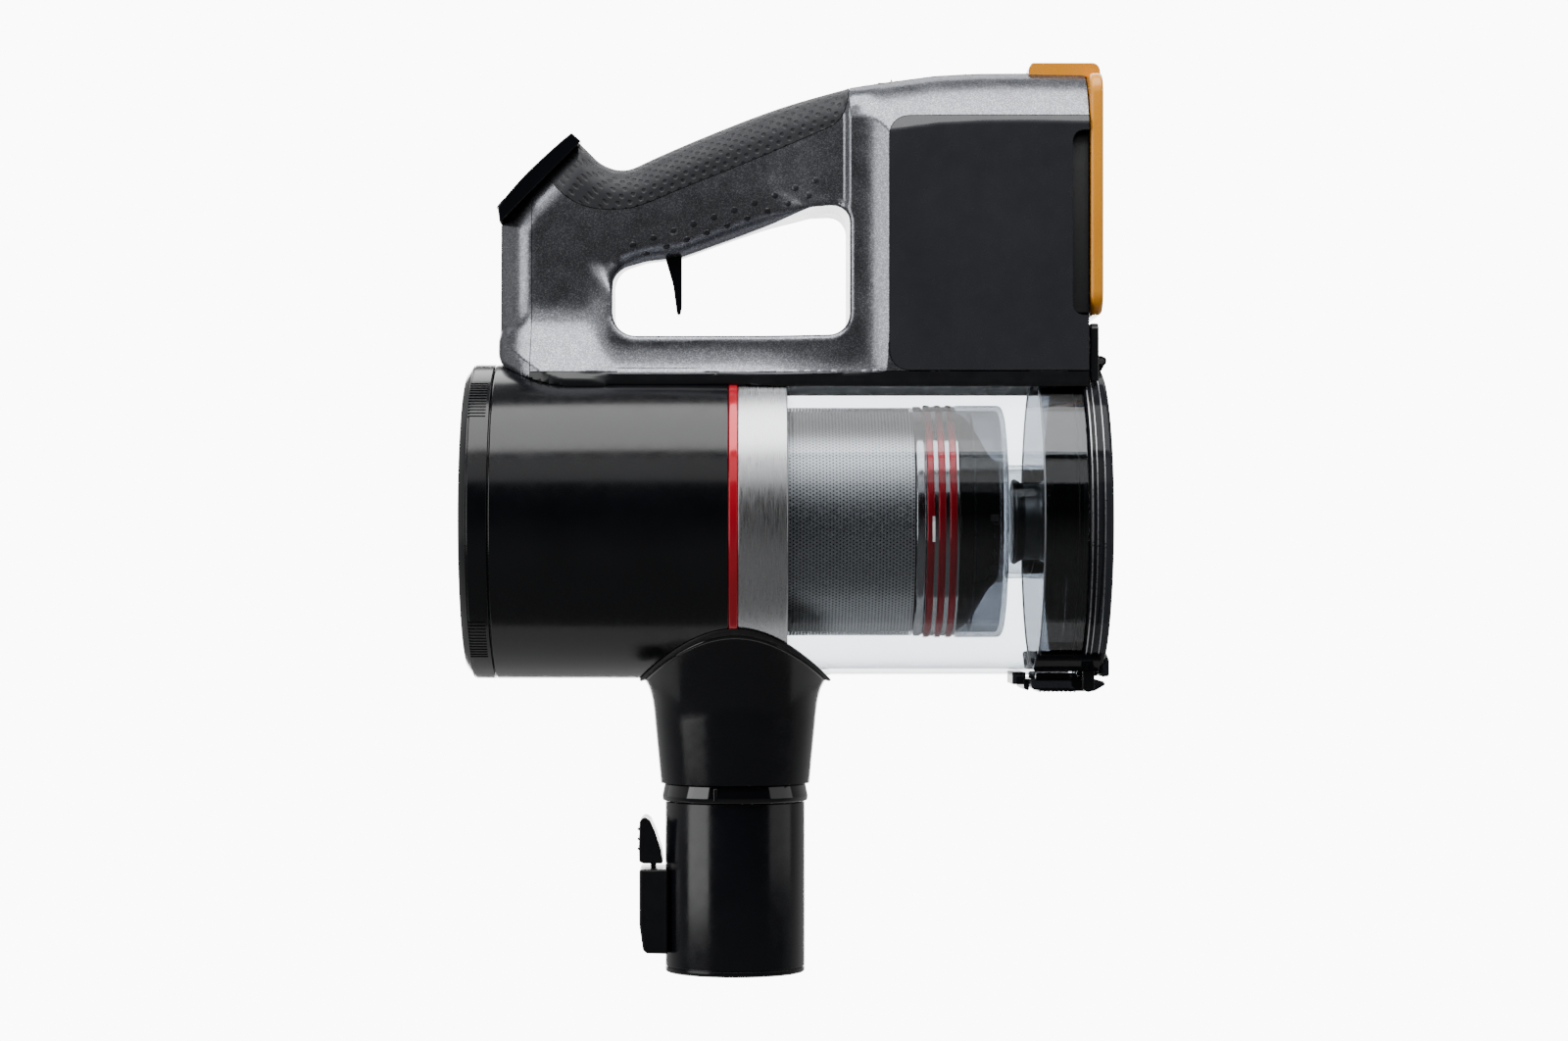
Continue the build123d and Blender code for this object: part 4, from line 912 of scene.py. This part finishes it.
def build_rear_block():
    """Block under the battery with a saddle underside, and the bin's release button."""
    outline = [(y, AXIS_Z + math.sqrt(64.7**2 - y * y)) for y in np.linspace(-34, 34, 41)]
    outline += [(34, 259.6), (32, 261.6), (-32, 261.6), (-34, 259.6)]
    plate("rear_catch", outline, 1.7, SATIN_BLACK, "body", 0.7, REAR_X + 1.9, "rear_block", "battery_black")
    release = rounded_box((-10.0, 251.0), (10.0, 259.0), 2.2)
    plate("bin_release_key", release, 1.3, INNER_GREY, "bin_button", 0.7, REAR_X + 2.9, "bin_release",
          "button_grey")


# ---------------------------------------------------------------- bin
def build_bin():
    a, b = 21.1, 138.6
    wall = arcs([
        (15.6, 58.9, 0.2), (15.6, 60.8, 0.4), (a, 60.8), (a, BIN_R, 0.6), (b, BIN_R, 0.6), (b, 60.2, 0.4),
        (a + 2, 60.2, 0.2), (a + 1, 58.9)], 4)
    lathe("bin_wall", wall, CLEAR, "bin", replaces=["bin_shell"], slot="clear_bin", segments=256)
    for k, y in enumerate((-15.0, 15.0)):
        top = AXIS_Z + math.sqrt(BIN_R**2 - y * y) - 0.8
        rail = arcs([
            (24.0, top), (HINGE_X - 2, top + 3.0, 0.4), (HINGE_X + 1.9, 245.8, 1.2),
            (HINGE_X + 2.2, 248.6, 1.4), (HINGE_X, 249.6, 1.2), (24.0, 248.6, 0.8)], 4)
        prism(f"bin_rail_{k}", rail, 2.9, SMOKED_LATCH, "bin", 0.4, centre=y, slot="clear_bin")
    tube("bin_mouth", 121.6, 138.4, 60.1, 59.2, SMOKED, "bin", slot="clear_bin")
    for k, (x, look) in enumerate(((121.2, MARK_WHITE), (134.6, SATIN_BLACK))):
        tube(f"bin_mouth_line_{k}", x, x + 0.6, 60.15, 58.7, look, "bin", 0.2, slot="clear_bin")
    keeper = arcs([(112.0, 122.0), (112.0, 117.0, 0.5), (117.4, 117.0, 0.5), (117.4, 122.0)], 3)
    prism("latch_keeper", keeper, 14.0, SMOKED_LATCH, "bin", 0.3, slot="clear_bin")


def hex_screen():
    """Thin metal drum with hexagonal cells, each with a round-cornered hole."""
    lo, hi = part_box("mesh_screen")
    a, b, r = lo.x / MM + 0.2, hi.x / MM - 0.2, (hi.z - lo.z) / 2 / MM
    columns, around, open_share = 38, 192, 0.27
    pitch_x, pitch_t = (b - a) / columns, 2 * math.pi / around
    # corners of a brick-like hexagon, in pitches from its middle
    corners = ((-0.5, -0.5), (0.5, -0.5), (0.5, 0), (0.5, 0.5), (-0.5, 0.5), (-0.5, 0))
    verts, faces, seen = [], [], {}

    def shared_point(x, t):
        key = (round(x, 4), round(t % (2 * math.pi), 5))
        if key not in seen:
            seen[key] = len(verts)
            verts.append(on_circle(x, r, t))
        return seen[key]

    for c in range(columns):
        for k in range(around):
            x, t = a + (c + 0.5) * pitch_x, (k + 0.5 * (c % 2)) * pitch_t
            ring = [shared_point(x + u * pitch_x, t + v * pitch_t) for u, v in corners]
            base = len(verts)
            for u, v in corners:
                size = open_share / math.hypot(u, v)
                verts.append(on_circle(x + pitch_x * size * u, r, t + pitch_t * size * v))
            faces += [(ring[m], ring[(m + 1) % 6], base + (m + 1) % 6, base + m) for m in range(6)]
    add_piece("mesh_drum", verts, faces, MESH_STEEL, "bin",
              replaces=["mesh_screen"], slot="screen_steel", sharp=60)
    # a black sleeve just inside the screen: a dark sheet that paints the shade seen through its holes
    tube("mesh_shade_sleeve", a, b, r - 1.6, r - 2.4, SATIN_BLACK, "bin", slot="cone_dark")


def half_ring(centre, r, width, steps=8):
    """Half a circle drawn as short four-sided strokes."""
    turns = [math.pi * k / steps for k in range(steps + 1)]
    return [[(centre[0] + q * math.cos(t), centre[1] + q * math.sin(t))
             for q, t in ((r, a), (r + width, a), (r + width, b), (r, b))] for a, b in zip(turns, turns[1:])]


def square(middle, half, low, high):
    return [(-half, middle - low), (half, middle - low), (half, middle + high), (-half, middle + high)]


def build_marks():
    """Generic marks for turning the cyclone: an open lock, an arrow and a closed lock."""
    shapes = [square(0, 0.3, 5.0, 3.2), [(-1.3, 2.6), (1.3, 2.6), (0.0, 5.6)]]
    shapes += [square(9.5, 1.6, 1.5, 1.3), square(9.5, 0.5, 0.5, 0.5)] + half_ring((0.0, 10.9), 0.9, 0.4)
    shapes += [square(-11.0, 1.6, 1.5, 1.3)] + half_ring((0.6, -9.6), 0.9, 0.4)
    x, r = 102.5, SHELL_R + 0.02
    for turn in (math.pi + 0.22, 0.22):
        verts, faces = [], []
        for shape in shapes:
            faces.append(tuple(range(len(verts), len(verts) + len(shape))))
            verts += [on_circle(x + u, r, turn + v / r) for u, v in shape]
        add_piece(f"cyclone_marks_{round(turn)}", verts, faces, RUBBER, "bin", slot="smoked_clear")


def build_cyclone():
    """From the screen to the lid: bright ring, red fins, smoked cover and the dark funnel seen through it."""
    wide = dict(body="bin", segments=256)
    a, b = span("screen_ring")
    ring = arcs([(a, 40.0), (a, 46.9, 1.1), (b, 46.9, 1.1), (b, 40.0)], 6)
    lathe("bright_ring", ring, CHROME, replaces=["screen_ring"], slot="chrome_ring", **wide)
    a, b = span("cyclone_core")
    tube("cyclone_silver", a, b, 46.9, 42.0, CHROME, "bin", replaces=["cyclone_core"], slot="silver_core")
    for k in range(3):
        x = span("cyclone_rings")[0] + 4.5 * k
        red = arcs([(x, 45.0), (x, SHELL_R, 0.9), (x + 3.1, SHELL_R, 0.9), (x + 3.1, 45.0)])
        lathe(f"red_fin_{k}", red, RED, replaces=["cyclone_rings"] * (k == 0), slot="red_accent", **wide)
    a, b = span("cyclone_shell")
    shell = arcs([
        (a, 45.2), (a, 47.3, 0.5), (b, 47.3, 2.2), (b, 24.6, 0.6), (b - 2, 24.6), (b - 2, 45.2, 1.0)])
    lathe("cyclone_cover", shell, SMOKED, replaces=["cyclone_shell"], slot="smoked_clear", **wide)
    shares = ((0.05, 44.6), (0.25, 41.6), (0.5, 34.6), (0.72, 27.6), (0.9, 24.3))
    funnel = curve_points([(a + (b - a) * share, r) for share, r in shares], 6)
    inside = [(x, r - 1.4) for x, r in funnel[::-1]]
    lathe("cyclone_funnel", funnel + inside, SATIN_BLACK, "bin", slot="cone_dark")
    x = a + (b - a) * 0.30
    tube("cyclone_rim", x, x + 0.6, 45.0, 41.6, SATIN_STEEL, "bin", 0.2, slot="cone_dark")
    build_marks()


def build_fill_mark():
    """A plain bar on the near side of the bin."""
    x, r, half_turn, steps, drop = 77.7, BIN_R + 0.06, 0.08, 16, 4.0
    verts = [np.subtract(on_circle(edge, r, t), (0, 0, drop))
             for t in np.linspace(math.pi - half_turn, math.pi + half_turn, steps + 1)
             for edge in (x - 0.5, x + 0.5)]
    faces = [(2 * k, 2 * k + 1, 2 * k + 3, 2 * k + 2) for k in range(steps)]
    add_piece("fill_mark", verts, faces, MARK_WHITE, "bin", slot="clear_bin")


# ---------------------------------------------------------------- lid
def build_lid():
    wide = dict(body="lid", slot="lid_plastic", segments=256)
    face = arcs([
        (145.6, 0.01), (145.6, 22.0, 0.5), (146.4, 24.0, 1.0), (146.2, 45.0, 1.0), (145.3, 47.0, 0.5),
        (145.2, 55.0, 0.8), (147.8, 56.6, 1.0), (148.3, 61.0, 1.2), (147.2, 63.0, 0.9),
        (139.4, 63.0, 0.4), (138.9, 62.4, 0.2), (138.9, 59.2, 0.3), (130.4, 58.8, 0.3),
        (130.4, 56.8, 0.2), (143.0, 56.8, 0.5), (143.6, 0.01)])
    lathe("lid_face", face, SMOKED_LATCH, replaces=["bin_lid"], **wide)
    for k, (a, b, r) in enumerate(((139.6, 140.1, 63.15), (141.6, 142.0, 63.12), (144.6, 145.0, 63.12))):
        tube(f"lid_line_{k}", a, b, r, r - 1.0, SATIN_STEEL, edge=0.1, **wide)
    a, b = span("lid_tube")
    tube("lid_pipe", a, b, 23.2, 21.4, CLEAR, "lid", 0.8, replaces=["lid_tube"], slot="cone_dark")
    tube("lid_sleeve", 128.6, b - 0.4, 21.0, 19.6, SMOKED_LATCH, "lid", 0.5, slot="cone_dark")
    spool = arcs([
        (112.6, 0.01), (112.6, 17.0, 0.8), (114.0, 17.4, 1.0), (117.0, 15.4, 2), (124.0, 15.4, 2),
        (126.6, 17.4, 1.0), (128.0, 17.4, 0.8), (143.5, 11.0, 0.5), (143.5, 0.01)], 6)
    lathe("bright_spool", spool, MESH_STEEL, "lid", replaces=["dust_cone"], slot="chrome_ring", segments=128)
    ear = arcs([
        (142.2, 240.0), (146.0, 240.0, 0.5), (149.6, 246.0, 1.5), (149.7, 248.4, 1.2),
        (147.8, 249.7, 1.4), (145.6, 248.8, 1.2), (142.6, 246.0, 0.8)], 4)
    prism("lid_ear", ear, 10.4, SATIN_BLACK, "lid", 0.4, slot="lid_plastic")
    stop = arcs([
        (147.8, 120.2, 0.3), (150.6, 120.4, 0.8), (150.6, 127.0, 1.0), (149.4, 129.8, 0.6),
        (147.8, 129.8, 0.2)], 4)
    prism("lid_stop", stop, 19.0, SMOKED_LATCH, "lid", 0.5, slot="lid_plastic")
    lug = arcs([
        (139.4, 125.6), (139.4, 115.0, 1.6), (141.8, 114.0, 1.6), (144.2, 115.0, 1.6), (144.2, 125.6)], 4)
    for k, y in enumerate((-22.4, 22.4)):
        prism(f"lid_lug_{k}", lug, 1.5, SATIN_BLACK, "lid", 0.3, centre=y, slot="lid_plastic")


def block_on_bin(y):
    """Cross section of a small block that hugs the bin's wall low down on one side."""
    top = [(v, AXIS_Z - math.sqrt((BIN_R + 0.05) ** 2 - v * v)) for v in np.linspace(y - 5.0, y + 5.0, 9)]
    left, right = (0.4, 0) if y < 0 else (0, 0.4)  # the outer foot stands out a little
    return top + [(y + 5.0 + right, top[-1][1] - 2.8), (y - 5.0 - left, top[0][1] - 2.8)]


def build_lid_latch():
    outline = arcs([
        (118.8, 119.4, 0.4), (119.4, 115.4, 1.0), (123.6, 114.4, 3.0), (144.4, 114.4, 2.4),
        (149.0, 117.0, 0.8), (148.4, 118.4, 0.5), (145.2, 119.3, 1.0), (126.0, 119.4, 0.4)])
    prism("latch_body", outline, 20.0, SMOKED_LATCH, "lid_catch", 0.7,
          replaces=["lid_latch"], slot="lid_plastic")
    cheek = arcs([(121.0, 118.6), (121.0, 121.7, 1.0), (137.4, 121.7, 1.0), (138.2, 118.6)], 4)
    for k, y in enumerate((-17.4, 17.4)):
        prism(f"latch_cheek_{k}", cheek, 2.2, SMOKED_LATCH, "lid_catch", 0.5, centre=y, slot="lid_plastic")
    end = arcs([
        (116.2, 119.4), (116.2, 115.6, 0.6), (117.8, 114.6, 0.5), (118.4, 115.2, 0.3), (118.4, 119.4)], 3)
    prism("latch_end_plate", end, 19.0, SMOKED_LATCH, "bin", 0.4, slot="clear_bin")
    for k, y in enumerate((-28.0, 28.0)):
        prism(f"latch_ear_{k}", block_on_bin(y), 13.2, SMOKED_LATCH, "bin", 0.8, axis="X", centre=133.0,
              slot="clear_bin")
    for n in range(9):
        x = 123.0 + 1.75 * n
        rib = arcs([
            (x - 0.45, 114.9), (x - 0.25, 113.9, 0.2), (x + 0.25, 113.9, 0.2), (x + 0.45, 114.9)], 3)
        prism(f"latch_finger_rib_{n}", rib, 17.0, SATIN_BLACK, "lid_catch", 0.15, slot="lid_plastic")


build_drum()
build_exhaust_cap()
build_neck()
build_wand_tube()
build_wand_latch()
build_handle()
build_panel()
build_trigger()
build_battery_cover()
build_rear_block()
build_bin()
hex_screen()
build_cyclone()
build_fill_mark()
build_lid()
build_lid_latch()


# ---------------------------------------------------------------- camera, light and floor
def add_area(name, place, aim, size, power):
    light = bpy.data.lights.new(name, "AREA")
    light.shape = "RECTANGLE"
    light.size, light.size_y = size
    light.energy = power
    obj = bpy.data.objects.new(name, light)
    obj.location = place
    obj.rotation_euler = (Vector(aim) - Vector(place)).to_track_quat("-Z", "Y").to_euler()
    bpy.context.scene.collection.objects.link(obj)


def build_world():
    """Pale behind and below, darker on the camera's side."""
    world = bpy.data.worlds.new("studio")
    bpy.context.scene.world = world
    world.use_nodes = True
    nt = world.node_tree
    view = add_node(nt, "TexCoord", {}, "Generated")
    view = add_node(nt, "SeparateXYZ", {0: view}).node.outputs
    wide = ramp(nt, view["Y"], 0.012, 0.35, -0.1, 0.7)
    behind = ramp(nt, view["Y"], 0.0, 10.0, 0.945, 0.960)
    below = ramp(nt, view["Z"], 0.0, 0.13, 0.1, -0.4)
    strength = maths(nt, "ADD", maths(nt, "ADD", wide, behind), below)
    set_inputs(nt, nt.nodes["Background"], {"Color": (1, 1, 1, 1), "Strength": strength})


def build_floor():
    mesh = bpy.data.meshes.new("floor")
    z = -0.45
    mesh.from_pydata([(-1.3, -0.12, z), (1.3, -0.12, z), (1.3, 2.1, z), (-1.3, 2.1, z)], [], [(0, 1, 2, 3)])
    floor = bpy.data.objects.new("floor", mesh)
    bpy.context.scene.collection.objects.link(floor)
    mesh.materials.append(plastic("floor_pale", (0.46, 0.46, 0.46), 0.8, 0.1, tint=0.01))


build_world()
build_floor()
middle = (0.02, 0.0, 0.2)
add_area("top_box", (0.05, -0.42, 1.45), middle, (2.2, 1.0), 36)
add_area("back_top", (0.0, 0.95, 1.25), middle, (2.0, 0.6), 14)
add_area("front_top", (0.05, -1.12, 1.02), middle, (2.0, 0.45), 2.6)
add_area("left_front", (-1.29, -0.66, 0.36), (0.0, 0.0, 0.36), (1.0, 1.05), 9.5)
add_area("left_wall", (-1.40, 0.35, 0.62), (0.0, 0.0, 0.62), (1.8, 1.1), 1.3)
add_area("right_wall", (1.45, -0.25, 0.50), (0.0, 0.0, 0.50), (1.2, 1.1), 2.8)

camera_data = bpy.data.cameras.new("camera")
camera_data.sensor_width = 36.0
camera_data.lens = 81.6
camera_data.shift_x = 0.028
camera_data.shift_y = 0.043
camera = bpy.data.objects.new("camera", camera_data)
camera.location = (0.002, -1.45, 0.156)
camera.rotation_euler = (math.radians(90), 0, 0)
bpy.context.scene.collection.objects.link(camera)
bpy.context.scene.camera = camera
